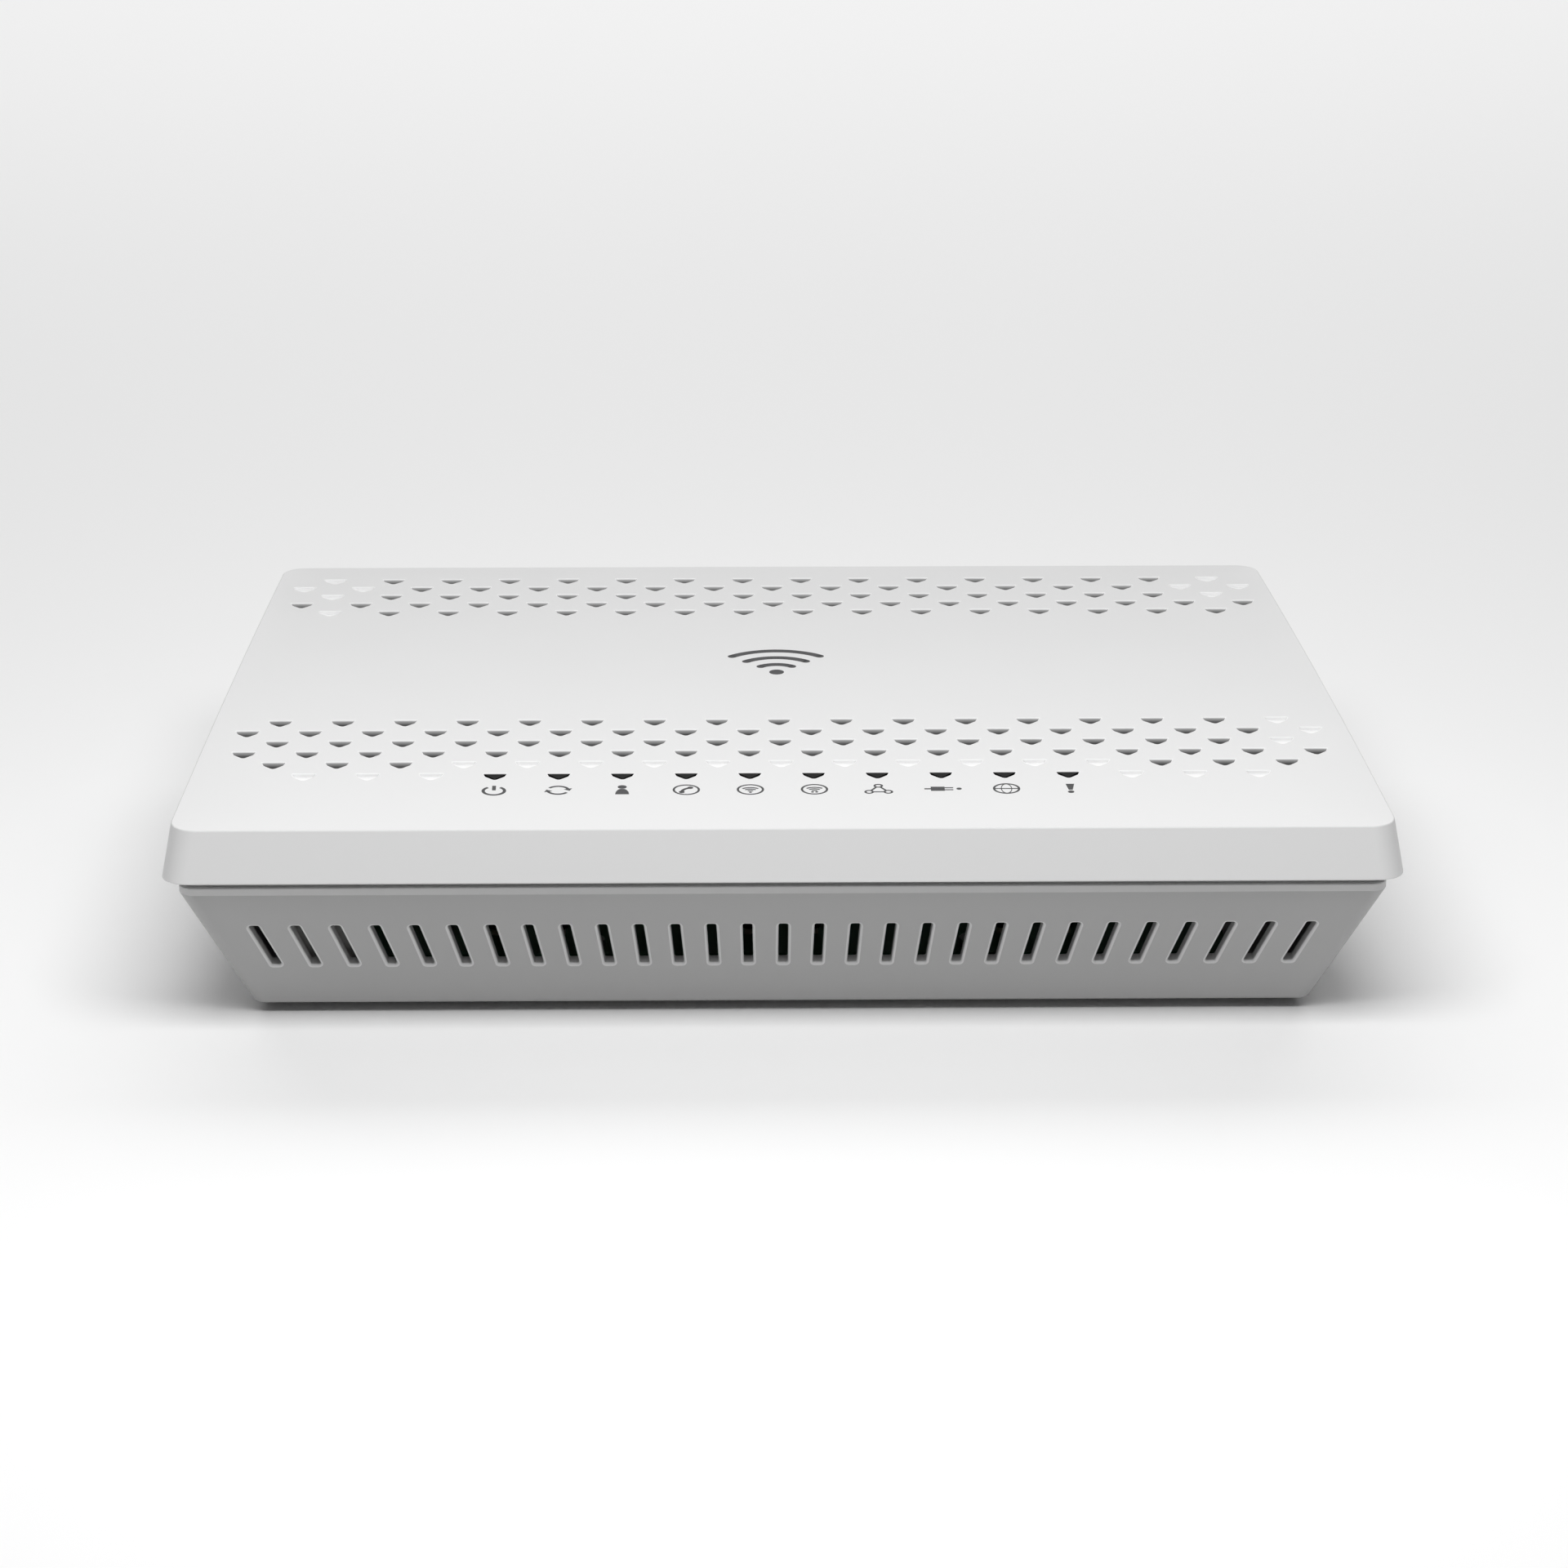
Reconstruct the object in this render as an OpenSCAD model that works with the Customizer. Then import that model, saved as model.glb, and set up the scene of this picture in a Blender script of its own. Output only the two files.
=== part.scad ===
// Cable gateway: a crowned, flared cover on a drafted tub, with the board, jacks,
// buttons, shields and aerials that it holds. Front is -Y, the jacks face +Y.

/* [Case] */
// Width of the cover rim at the front
case_w = 231; // [226:1:240]
// Depth of the cover rim, front to rear
case_d = 158; // [154:1:162]
// Angle at which each side closes in towards the rear
side_taper = 4.75; // [4:0.25:5.5]
// Height of the cover skirt at its front edge
skirt_h = 10.1; // [8.5:0.1:11]
// How far the skirt leans out between its top edge and its rim
skirt_flare = 1.7; // [1.5:0.1:2.6]
// Rise of the crowned top between its front and rear edges
crown_h = 1.6; // [1.5:0.1:3]
// Height of the leaning tub wall
tub_wall_h = 26.3; // [25.5:0.1:28]
// Lean of the tub's front and side walls from vertical
wall_lean = 23.5; // [22:0.1:24]
// Wall thickness of both mouldings
wall_t = 2.4; // [2.2:0.1:2.5]

/* [Front slots] */
// Number of slots across the front wall
slot_count = 29; // [21:2:29]
// Angle between two neighbouring slots
slot_step = 1.521; // [1.3:0.001:1.53]
// Distance from the slots to the point they fan out from
slot_fan_r = 248; // [230:1:250]
// Length of a slot along the wall
slot_len = 10.3; // [8:0.1:11]
// Width of a slot
slot_w = 1.8; // [1.6:0.1:2.3]
// Distance from the lip down the wall to the middle of the slots
slot_drop = 13.3; // [12:0.1:15]

/* [Top vents] */
// Distance between neighbouring vents in a row
vent_pitch = 12; // [11.8:0.1:12]
// Distance between two rows
vent_row = 5.6; // [5.3:0.1:5.6]
// Width of a triangular vent at its rear side
vent_w = 4.4; // [3.6:0.1:4.6]
// Length of a vent from its rear side to its point
vent_h = 3; // [2.4:0.1:3.2]
// Depth of a blind vent
blind_depth = 0.5; // [0.3:0.1:0.8]

/* [Feet and buttons] */
// Height of the rubber feet under the tub
foot_h = 2; // [1.5:0.1:3]
// Travel of the power button
power_travel = 2; // [1:0.1:2.2]
// Travel of the pairing button
pair_travel = 0.6; // [0.3:0.1:0.8]
// Travel of the reset plunger
reset_travel = 0.4; // [0.2:0.1:0.5]
// Reach of the coaxial thread behind the rear wall
coax_reach = 11; // [10:0.5:12]

/* [Hidden] */
eps = 0.01;

slot_corner = 0.45;

// Places of the case
rear_inset = 3.5;
front_y = -(case_d - rear_inset + coax_reach) / 2;
rear_y = front_y + case_d;
wall_y = rear_y - rear_inset;
inner_wall_y = wall_y - wall_t;
lip_inset = 2.9;
lip_h = 1.5;
reveal = 1.7;
lip_z = foot_h + tub_wall_h;
tub_top = lip_z + lip_h;
rim_z = tub_top + reveal;
edge_z = rim_z + skirt_h;
top_z = edge_z + crown_h;
floor_z = foot_h + wall_t;
bottom_chamfer = 1.4;
cover_corner = 4.6;
tub_corner = 3;
flare_slope = skirt_flare / skirt_h;
crown_chord = case_d - 2 * skirt_flare;
crown_r = (crown_chord * crown_chord / 4 + crown_h * crown_h) / (2 * crown_h);
mid_y = (front_y + rear_y) / 2;
ceiling_t = 2.2;

// Top vents: one entry per row, [distance from the rear edge in rows, holes, blind at left, blind at right]
rear_rows = [[0, 16, 1, 1], [1, 17, 2, 2], [2, 16, 1, 1], [3, 17, 0, 0], [4, 16, 1, 0]];
front_rows = [[0, 17, 0, 1], [1, 18, 0, 1], [2, 17, 0, 1], [3, 18, 0, 0], [4, 17, 0, 0]];
rear_band_y = rear_y - skirt_flare - 10.4;
front_band_y = rear_band_y - 16 * vent_row;
led_y = front_band_y - 5 * vent_row - 0.4;
led_count = 10;
led_row_count = 16;
led_row_blind = 3;
shaded_row_open = 3;
pipe_z = 33;
lens_drop = 0.12;

// Board and its places
board_z = 9;
board_t = 1.6;
board_top = board_z + board_t;
board_half_w = 84;
board_front = front_y + 17.25;
board_rear = inner_wall_y - 1.85;
boss_front = [90, front_y + 27.25];
boss_rear = [85.5, rear_y - 37.75];
boss_r = 4.2;
boss_top = 18;
screw_r = 1.25;
screw_head_r = 2.8;
screw_tip_z = 30;
head_seat_z = 12;
board_screw_places = [[-36, board_front + 4], [36, board_front + 4], [-44, 40], [30, 44]];
foot_places = [[76, front_y + 29], [76, rear_y - 22]];
foot_r = 6;
foot_sink = 0.8;
keyhole_x = 50;
keyhole_y = 4;
keyhole_r = 4;
keyhole_slot_r = 2;
keyhole_slot_len = 9;

// Rear interfaces
power_x = 76;
dc_x = 62.5;
pair_x = 51.5;
reset_x = 43.5;
usb_x = 31.5;
lan_x = -8.5;
lan_pitch = 13.97;
lan_block = [58, 16, 13.2];
phone_x = -54;
phone_pitch = 12.7;
phone_block = [25, 15, 12.4];
coax_x = -75;
coax_z = 17.6;
jack_face_y = wall_y + 0.3;
jack_fit = 0.2;
dc_z = board_top + 6.3;
dc_block = [9, 13.5, 11];
dc_bore_r = 3.2;
dc_pin_r = 1;
power_z = board_top + 7;
power_cap = 8;
power_stand = 2.8;
pair_z = board_top + 6;
pair_r = 3;
reset_z = board_top + 6;
pinhole_r = 1.2;
reset_r = 0.8;
coax_thread_r = 4.76;
coax_bore_r = 2.9;
coax_flange_t = 3;
washer_t = 0.6;
nut_t = 2.4;

// Insets of the leaning tub wall at a height
function tub_inset(z) = lip_inset + max(0, lip_z - z) * tan(wall_lean);
// Half the rim width at a depth
function half_w(y) = case_w / 2 - (y - front_y) * tan(side_taper);
// Height of the crowned top at a depth, for a skin of thickness t
function crown_z(y, t = 0) = top_z - t - (y - mid_y) * (y - mid_y) / (2 * crown_r);

// ---------- shared shapes ----------

// Points of one rounded corner, from one angle to another
function corner_arc(centre, r, from, to, n) =
    [for (k = [0 : n]) centre + r * [cos(from + (to - from) * k / n), sin(from + (to - from) * k / n)]];

// The case outline drawn in from the rim by three insets, with corner radius r
function outline(front, side, rear, r, n = 8) =
    let (yf = front_y + front + r, yr = rear_y - rear - r,
        xf = half_w(yf) - (side + r) / cos(side_taper), xr = half_w(yr) - (side + r) / cos(side_taper))
    concat(corner_arc([xf, yf], r, -90, side_taper, n),
        corner_arc([xr, yr], r, side_taper, 90, n),
        corner_arc([-xr, yr], r, 90, 180 - side_taper, n),
        corner_arc([-xf, yf], r, 180 - side_taper, 270, n));

// A solid through a list of [height, outline] levels
module loft(levels) {
    n = len(levels[0][1]);
    last = len(levels) - 1;
    points = [for (level = levels, p = level[1]) [p[0], p[1], level[0]]];
    walls = [for (i = [0 : last - 1], k = [0 : n - 1])
        let (a = i * n + k, b = i * n + (k + 1) % n) [a, a + n, b + n, b]];
    floor = [for (k = [0 : n - 1]) k];
    roof = [for (k = [0 : n - 1]) last * n + n - 1 - k];
    polyhedron(points, concat([floor, roof], walls));
}

// A polygon's corners rounded to radius r
function rounded(c, r, n = 3) = [for (i = [0 : len(c) - 1])
    let (a = unit(c[(i + len(c) - 1) % len(c)] - c[i]), b = unit(c[(i + 1) % len(c)] - c[i]),
        half = acos(a * b) / 2, centre = c[i] + unit(a + b) * r / sin(half),
        start = c[i] + a * r / tan(half) - centre, from = atan2(start[1], start[0]))
    each corner_arc(centre, r, from, from + 180 - 2 * half, n)];

// A block standing on z = 0, centred on x and y
module block(size, at = [0, 0, 0]) {
    translate([at[0] - size[0] / 2, at[1] - size[1] / 2, at[2]]) cube(size);
}

// Left and right copies
module both_sides() {
    for (sx = [-1, 1]) scale_x(sx) children();
}

module scale_x(sx) {
    if (sx > 0) children();
    else mirror([1, 0, 0]) children();
}

// A flat outline drawn in x and z, pushed from y towards the rear by depth
module rearward(y, depth) {
    translate([0, y + depth, 0]) rotate([90, 0, 0]) linear_extrude(depth) children();
}

module triangle() {
    polygon([[-vent_w / 2, vent_h / 2], [0, -vent_h / 2], [vent_w / 2, vent_h / 2]]);
}

// ---------- case ----------

module crown_body(t) {
    translate([0, mid_y, top_z - crown_r])
        rotate([0, 90, 0]) cylinder(r = crown_r - t, h = 2 * case_w, center = true, $fn = 200);
}

// The flared cover block drawn in by an inset, with a crown skin of thickness t taken off
module cover_block(inset, z_from, t, r) {
    rise = skirt_h + 3;
    low = inset - (rim_z - z_from) * flare_slope;
    high = inset + rise * flare_slope;
    intersection() {
        loft([[z_from, outline(low, low, low, r)], [rim_z + rise, outline(high, high, high, r)]]);
        crown_body(t);
    }
}

// Open or blind vents of one band, as flat shapes
module band_vents(rows, band_y, blind) {
    for (row = rows, i = [0 : row[1] - 1]) {
        is_blind = i < row[2] || i >= row[1] - row[3];
        if (is_blind == blind)
            translate([(i - (row[1] - 1) / 2) * vent_pitch, band_y - row[0] * vent_row]) triangle();
    }
}

// The fifth front row is open only beside the indicators
module is_shaded(i, count, open) {
    if (i >= open && i < count - open) children();
}

module cover_vents() {
    band_vents(rear_rows, rear_band_y, false);
    band_vents([for (r = front_rows) if (r[0] < 4) r], front_band_y, false);
    for (i = [0 : 16])
        if (i < shaded_row_open || i > 16 - shaded_row_open)
            translate([(i - 8) * vent_pitch, front_band_y - 4 * vent_row]) triangle();
    for (i = [0 : led_count - 1])
        translate([(i - (led_count - 1) / 2) * vent_pitch, led_y]) triangle();
}

module cover_blind_vents() {
    band_vents(rear_rows, rear_band_y, true);
    band_vents([for (r = front_rows) if (r[0] < 4) r], front_band_y, true);
    for (i = [0 : 16])
        is_shaded(i, 17, shaded_row_open)
            translate([(i - 8) * vent_pitch, front_band_y - 4 * vent_row]) triangle();
    for (i = [0 : led_row_count - 1])
        if (i < led_row_blind || i > led_row_count - 1 - led_row_blind)
            translate([(i - (led_row_count - 1) / 2) * vent_pitch, led_y]) triangle();
}

module cover_boss(at) {
    translate([at[0], at[1], boss_top])
        difference() {
            cylinder(r = 3.4, h = crown_z(at[1], 1) - boss_top, $fn = 48);
            translate([0, 0, -1]) cylinder(r = screw_r, h = screw_tip_z - boss_top + 2, $fn = 48);
        }
}

module top_cover() color([0.93, 0.93, 0.93]) {
    difference() {
        cover_block(0, rim_z, 0, cover_corner);
        cover_block(wall_t, rim_z - 1, ceiling_t, cover_corner - wall_t);
        translate([0, 0, edge_z - 6]) linear_extrude(crown_h + 8) cover_vents();
        intersection() {
            translate([0, 0, edge_z - 3]) linear_extrude(crown_h + 5) cover_blind_vents();
            difference() {
                block([case_w, case_d, 20], [0, mid_y, edge_z - 4]);
                crown_body(blind_depth);
            }
        }
    }
    both_sides() {
        cover_boss(boss_front);
        cover_boss(boss_rear);
        translate([4 * vent_pitch, led_y, pipe_z - 0.5])
            cylinder(r = 1.5, h = crown_z(led_y, 1) - pipe_z + 0.5, $fn = 32);
    }
}

// A level of the tub drawn in by an extra inset
function tub_level(z, inset, rear, r) =
    [z, outline(tub_inset(z) + inset, tub_inset(z) + inset, rear + inset, r)];

module tub_outside() {
    loft([tub_level(foot_h, bottom_chamfer, rear_inset, tub_corner),
        tub_level(foot_h + bottom_chamfer, 0, rear_inset, tub_corner),
        tub_level(lip_z, 0, rear_inset, tub_corner), tub_level(tub_top, 0, rear_inset, tub_corner)]);
}

module tub_inside() {
    r = tub_corner - 2.2;
    loft([tub_level(floor_z, wall_t, rear_inset, r), tub_level(lip_z, wall_t, rear_inset, r),
        tub_level(tub_top + 1, wall_t, rear_inset, r)]);
}

// Frame whose x and y lie in the front wall, with y up the slope and z outwards
module on_front_wall() {
    translate([0, front_y + lip_inset, lip_z]) rotate([90 + wall_lean, 0, 0]) children();
}

// Outline of a slot with rounded ends, standing along y
function slot_points(length, width, n = 6) = [for (end = [0, 1], k = [0 : n])
    let (turn = 180 * (end + k / n), reach = (end == 0 ? 1 : -1) * (length - width) / 2)
    [width / 2 * cos(turn), reach + width / 2 * sin(turn)]];

module slot_shape(length, width) polygon(slot_points(length, width));

// Corners of a slot whose ends lie level and whose sides lean with the fan
function fan_slot(lean) =
    let (low = (slot_fan_r - slot_len / 2) * tan(lean), high = (slot_fan_r + slot_len / 2) * tan(lean),
        w = slot_w / 2 / cos(lean))
    [[low - w, -slot_len / 2], [low + w, -slot_len / 2], [high + w, slot_len / 2], [high - w, slot_len / 2]];

module front_slots() {
    half = (slot_count - 1) / 2;
    on_front_wall()
        translate([0, -slot_drop, -2 * wall_t])
            for (i = [-half : half])
                linear_extrude(3 * wall_t) polygon(rounded(fan_slot(i * slot_step), slot_corner));
}

module keyhole() {
    translate([keyhole_x, keyhole_y]) {
        circle(r = keyhole_r, $fn = 48);
        translate([0, keyhole_slot_len / 2])
            slot_shape(keyhole_slot_len + 2 * keyhole_slot_r, 2 * keyhole_slot_r);
    }
}

module floor_vents() {
    for (row = [-2 : 2], i = [-5 : 5])
        if (abs(row) != 0 || abs(i) < 3)
            translate([i * 7, mid_y + row * 16]) slot_shape(11, 2.2);
}

// Openings of the rear wall, drawn in x and z
module rear_openings() {
    translate([lan_x - lan_block[0] / 2 - jack_fit, board_top - jack_fit])
        square([lan_block[0] + 2 * jack_fit, lan_block[2] + 2 * jack_fit]);
    translate([phone_x - phone_block[0] / 2 - jack_fit, board_top - jack_fit])
        square([phone_block[0] + 2 * jack_fit, phone_block[2] + 2 * jack_fit]);
    translate([usb_x - 7.2, board_top + 0.2]) square([14.4, 7]);
    translate([dc_x - dc_block[0] / 2 - jack_fit, board_top - jack_fit])
        square([dc_block[0] + 2 * jack_fit, dc_block[2] + 2 * jack_fit]);
    translate([power_x - power_cap / 2 - 0.3, power_z - power_cap / 2 - 0.3])
        square(power_cap + 0.6);
    translate([pair_x, pair_z]) circle(r = pair_r + 0.3, $fn = 48);
    translate([reset_x, reset_z]) circle(r = pinhole_r, $fn = 48);
    translate([coax_x, coax_z]) circle(r = coax_thread_r + 0.3, $fn = 64);
}

module tub_boss(at) {
    translate([at[0], at[1], foot_h + 0.5]) cylinder(r = boss_r, h = boss_top - foot_h - 0.5, $fn = 48);
}

module tub_boss_bore(at) {
    translate([at[0], at[1], foot_h - 1]) cylinder(r = 3.05, h = head_seat_z - foot_h + 1, $fn = 48);
    translate([at[0], at[1], foot_h]) cylinder(r = 1.6, h = boss_top, $fn = 48);
}

// Height at which a post inside the leaning side wall starts, just short of the outer face
function post_start(x, y) =
    max(floor_z - 0.1, lip_z - (half_w(y) - lip_inset - x - 0.6) / tan(wall_lean));

// Posts that hold the aerial boards upright
module aerial_posts() {
    for (a = aerials, end = [-1, 1]) {
        y = a[2] + end * (a[3] / 2 - 2);
        start = post_start(a[1] + 4, y + 1.5);
        block([3, 3, 24.5 - start], [a[0] * (a[1] + 2.5), y, start]);
    }
    translate([front_aerial[0] - 6.5, front_aerial[1] + 0.4, floor_z - 0.1]) cube([3, 3, 16]);
}

module base_tub() color([0.72, 0.72, 0.72]) {
    difference() {
        union() {
            difference() {
                tub_outside();
                tub_inside();
            }
            difference() {
                tongue(tub_top - 1, lip_inset + 0.9, tub_corner - 0.9, 0);
                tongue(tub_top - 2, lip_inset + 2.1, tub_corner - 2, 1);
            }
            aerial_posts();
            both_sides() {
                tub_boss(boss_front);
                tub_boss(boss_rear);
            }
            for (p = board_screw_places)
                translate([p[0], p[1], foot_h + 0.5]) cylinder(r = 3, h = board_z - foot_h - 0.5, $fn = 36);
        }
        front_slots();
        rearward(inner_wall_y - 1, wall_t + 2) rear_openings();
        both_sides() {
            tub_boss_bore(boss_front);
            tub_boss_bore(boss_rear);
            translate([0, 0, foot_h - 1]) linear_extrude(wall_t + 2) keyhole();
            for (p = foot_places)
                translate([p[0], p[1], foot_h - 1]) cylinder(r = foot_r + 0.1, h = 1 + foot_sink, $fn = 48);
        }
        for (p = board_screw_places)
            translate([p[0], p[1], foot_h + 1.2]) cylinder(r = 1, h = board_z, $fn = 32);
        translate([0, 0, foot_h - 1]) linear_extrude(wall_t + 2) floor_vents();
    }
}

// Upright ring on the tub's rim that enters the cover
module tongue(z, inset, r, extra) {
    shape = outline(inset, inset, rear_inset + inset - lip_inset, r);
    loft([[z, shape], [rim_z + 2 + extra, shape]]);
}

module light_pipe() color([0.06, 0.06, 0.06]) {
    difference() {
        union() {
            block([9.6 * vent_pitch, 3.4, 2.5], [0, led_y, pipe_z]);
            for (i = [0 : led_count - 1]) translate([(i - (led_count - 1) / 2) * vent_pitch, led_y, 0]) {
                translate([0, 0, board_top + 1.4]) cylinder(r = 1.5, h = 25, $fn = 32);
                translate([0, 0, pipe_z])
                    linear_extrude(crown_z(led_y, lens_drop) - pipe_z) offset_triangle(0.08);
            }
        }
        for (sx = [-1, 1])
            translate([sx * 4 * vent_pitch, led_y, pipe_z - 1]) cylinder(r = 1.5, h = 5, $fn = 32);
    }
}

// The vent triangle, drawn in by a clearance
module offset_triangle(c) {
    k = 1 - 2.9 * c / vent_h;
    polygon(k * [[-vent_w / 2, vent_h / 2], [0, -vent_h / 2], [vent_w / 2, vent_h / 2]]);
}

// ---------- board ----------

module main_board() color([0.05, 0.30, 0.16]) {
    difference() {
        translate([-board_half_w, board_front, board_z])
            cube([2 * board_half_w, board_rear - board_front, board_t]);
        both_sides()
            translate([boss_rear[0], boss_rear[1], board_z - 1])
                cylinder(r = boss_r + 0.8, h = board_t + 2, $fn = 48);
        for (p = board_screw_places)
            translate([p[0], p[1], board_z - 1]) cylinder(r = 1.4, h = board_t + 2, $fn = 36);
    }
}

module led_row() color([0.95, 0.93, 0.80]) {
    for (i = [0 : led_count - 1])
        block([2, 1.3, 0.9], [(i - (led_count - 1) / 2) * vent_pitch, led_y, board_top]);
}

soc_at = [5, -2, board_top];
soc_t = 2;
pad_t = 1;

module soc_chip() color([0.10, 0.10, 0.11]) {
    block([27, 27, 1.1], soc_at);
    block([23, 23, soc_t], soc_at);
}

module thermal_pad() color([0.55, 0.62, 0.72]) {
    block([22, 22, pad_t], soc_at + [0, 0, soc_t]);
}

module heat_sink() color([0.72, 0.73, 0.75]) {
    base_z = board_top + soc_t + pad_t;
    block([46, 46, 3], [soc_at[0], soc_at[1], base_z]);
    for (i = [-4 : 4])
        block([1.5, 46, 11], [soc_at[0] + i * 5.4, soc_at[1], base_z + 2]);
}

module memory_chips() color([0.11, 0.11, 0.12]) {
    for (y = [-12, 4]) block([8, 13, 1.1], [44, y, board_top]);
}

module flash_chip() color([0.12, 0.12, 0.13]) {
    block([12, 14, 1.1], [44, 21, board_top]);
}

module line_chips() color([0.11, 0.11, 0.12]) {
    for (y = [10, 26]) block([8, 8, 1], [-38, y, board_top]);
}

module crystal_can() color([0.80, 0.80, 0.78]) {
    translate([20, -36, board_top]) {
        block([6.6, 4, 3.2]);
        for (sx = [-1, 1]) translate([sx * 3.3, 0, 0]) cylinder(r = 2, h = 3.2, $fn = 32);
    }
}

// A shield fence of the given outer size, open at the top
module fence(size, at) {
    difference() {
        block([size[0], size[1], size[2]], at);
        block([size[0] - 1, size[1] - 1, size[2] + 2], at - [0, 0, 1]);
        for (i = [-2 : 2]) translate([at[0] + i * size[0] / 6, at[1], at[2]])
            cube([3, size[1] + 2, 1.2], center = true);
    }
}

// The drilled cover that closes a shield fence
module fence_cover(size, at) {
    translate([0, 0, size[2]]) difference() {
        block([size[0], size[1], 0.4], at);
        for (i = [-2 : 2], j = [-2 : 2])
            translate([at[0] + i * 5, at[1] + j * 4, at[2] - 1]) cylinder(r = 0.8, h = 3, $fn = 16);
    }
}

tuner_at = [-66, 26, board_top];
tuner_size = [30, 34, 5.5];
wifi_size = [34, 26, 4];
wifi_places = [[-58, -36, board_top], [62, -36, board_top]];

module tuner_fence() color([0.78, 0.78, 0.76]) fence(tuner_size, tuner_at);
module tuner_cover() color([0.80, 0.80, 0.78]) fence_cover(tuner_size, tuner_at);

module wifi_fences() color([0.78, 0.78, 0.76])
    for (p = wifi_places) fence(wifi_size, p);

module wifi_covers() color([0.80, 0.80, 0.78])
    for (p = wifi_places) fence_cover(wifi_size, p);

module lan_transformers() color([0.12, 0.12, 0.12])
    for (x = [-26, -8.5, 9]) block([14, 8, 6], [x, 44, board_top]);

module capacitor(at, r, h) {
    translate([at[0], at[1], board_top]) {
        cylinder(r = r - 0.35, h = h, $fn = 40);
        cylinder(r = r, h = 1.2, $fn = 40);
        translate([0, 0, 2]) cylinder(r = r, h = h - 2.4, $fn = 40);
    }
}

module capacitors() color([0.16, 0.17, 0.22]) {
    for (p = [[56, 40], [66, 34]]) capacitor(p, 4, 11);
    for (p = [[56, 28], [66, 23], [56, 17]]) capacitor(p, 3, 8);
}

module inductors() color([0.25, 0.25, 0.26])
    for (p = [[74, 22], [75, 10], [64, 8]]) {
        block([8, 8, 1], [p[0], p[1], board_top]);
        translate([p[0], p[1], board_top]) cylinder(r = 3.4, h = 4, $fn = 40);
    }

// ---------- jacks ----------

// Stepped mouth of a modular jack, drawn about its centre line from its lowest point
module jack_mouth(w, h) {
    translate([-2, 0]) square([4, 3]);
    translate([-3.2, 1.4]) square([6.4, 3]);
    translate([-w / 2, 2.8]) square([w, h]);
}

module lan_mouths(grow = 0) {
    for (i = [0 : 3])
        translate([lan_x + (i - 1.5) * lan_pitch, board_top + 1.4 - grow])
            jack_mouth(11.8 + 2 * grow, 7 + 2 * grow);
}

module lan_jack_shield() color([0.80, 0.80, 0.80]) difference() {
    block(lan_block, [lan_x, jack_face_y - lan_block[1] / 2, board_top]);
    block([lan_block[0] - 0.8, lan_block[1], lan_block[2] + 0.6],
        [lan_x, jack_face_y - lan_block[1] / 2 - 0.4, board_top - 1]);
    rearward(jack_face_y - 1, 2) lan_mouths(0.15);
}

module lan_jack_body() color([0.10, 0.10, 0.10]) difference() {
    block([lan_block[0] - 0.8, lan_block[1] - 0.4, lan_block[2] - 0.4],
        [lan_x, jack_face_y - 0.4 - (lan_block[1] - 0.4) / 2, board_top]);
    rearward(jack_face_y - 14, 15) lan_mouths();
}

// Spring wires of a modular jack, sloping in from the mouth
module jack_wires(x, z, count, pitch, depth) {
    for (i = [0 : count - 1])
        translate([x + (i - (count - 1) / 2) * pitch - 0.22, jack_face_y - depth, z])
            rotate([8, 0, 0]) cube([0.44, 8, 0.4]);
}

module lan_contacts() color([0.83, 0.66, 0.25])
    for (i = [0 : 3])
        jack_wires(lan_x + (i - 1.5) * lan_pitch, board_top + 9.3, 8, 1.02, 13.6);

module phone_mouths() {
    for (i = [0 : 1])
        translate([phone_x + (i - 0.5) * phone_pitch, board_top + 1.4]) jack_mouth(9.8, 6.8);
}

module phone_jack_body() color([0.14, 0.14, 0.15]) difference() {
    block(phone_block, [phone_x, jack_face_y - phone_block[1] / 2, board_top]);
    rearward(jack_face_y - 13, 14) phone_mouths();
}

module phone_contacts() color([0.83, 0.66, 0.25])
    for (i = [0 : 1])
        jack_wires(phone_x + (i - 0.5) * phone_pitch, board_top + 9.2, 4, 1.02, 12.6);

usb_z = board_top + 0.8;
usb_out = [13.2, 14.4, 5.8];

module usb_shell() color([0.80, 0.80, 0.80]) {
    difference() {
        union() {
            block(usb_out, [usb_x, jack_face_y - usb_out[1] / 2, usb_z]);
            block([14.2, 0.4, 6.8], [usb_x, jack_face_y - 0.2, usb_z - 0.5]);
        }
        block([12.5, 14.9, 5.1], [usb_x, jack_face_y + 1 - 14.9 / 2, usb_z + 0.35]);
    }
    for (sx = [-1, 1], y = [4, 11])
        block([0.5, 1.6, 1], [usb_x + sx * 6.3, jack_face_y - y, board_top]);
}

module usb_tongue() color([0.10, 0.10, 0.10]) {
    block([12.5, 2.4, 5.1], [usb_x, jack_face_y - 12.7, usb_z + 0.35]);
    block([11.2, 9.6, 1.8], [usb_x, jack_face_y - 7.2, usb_z + 3]);
}

module usb_contacts() color([0.83, 0.66, 0.25])
    for (i = [0 : 3])
        block([1, 7.5, 0.2], [usb_x + (i - 1.5) * 2.3, jack_face_y - 6.8, usb_z + 2.8]);

module dc_jack_body() color([0.09, 0.09, 0.09]) difference() {
    block(dc_block, [dc_x, jack_face_y - dc_block[1] / 2, board_top]);
    translate([dc_x, jack_face_y + 1, dc_z]) rotate([90, 0, 0]) cylinder(r = dc_bore_r, h = 11, $fn = 64);
}

module dc_jack_pin() color([0.80, 0.80, 0.80])
    translate([dc_x, jack_face_y - 0.6, dc_z]) rotate([90, 0, 0]) cylinder(r = dc_pin_r, h = 9.4, $fn = 48);

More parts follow.
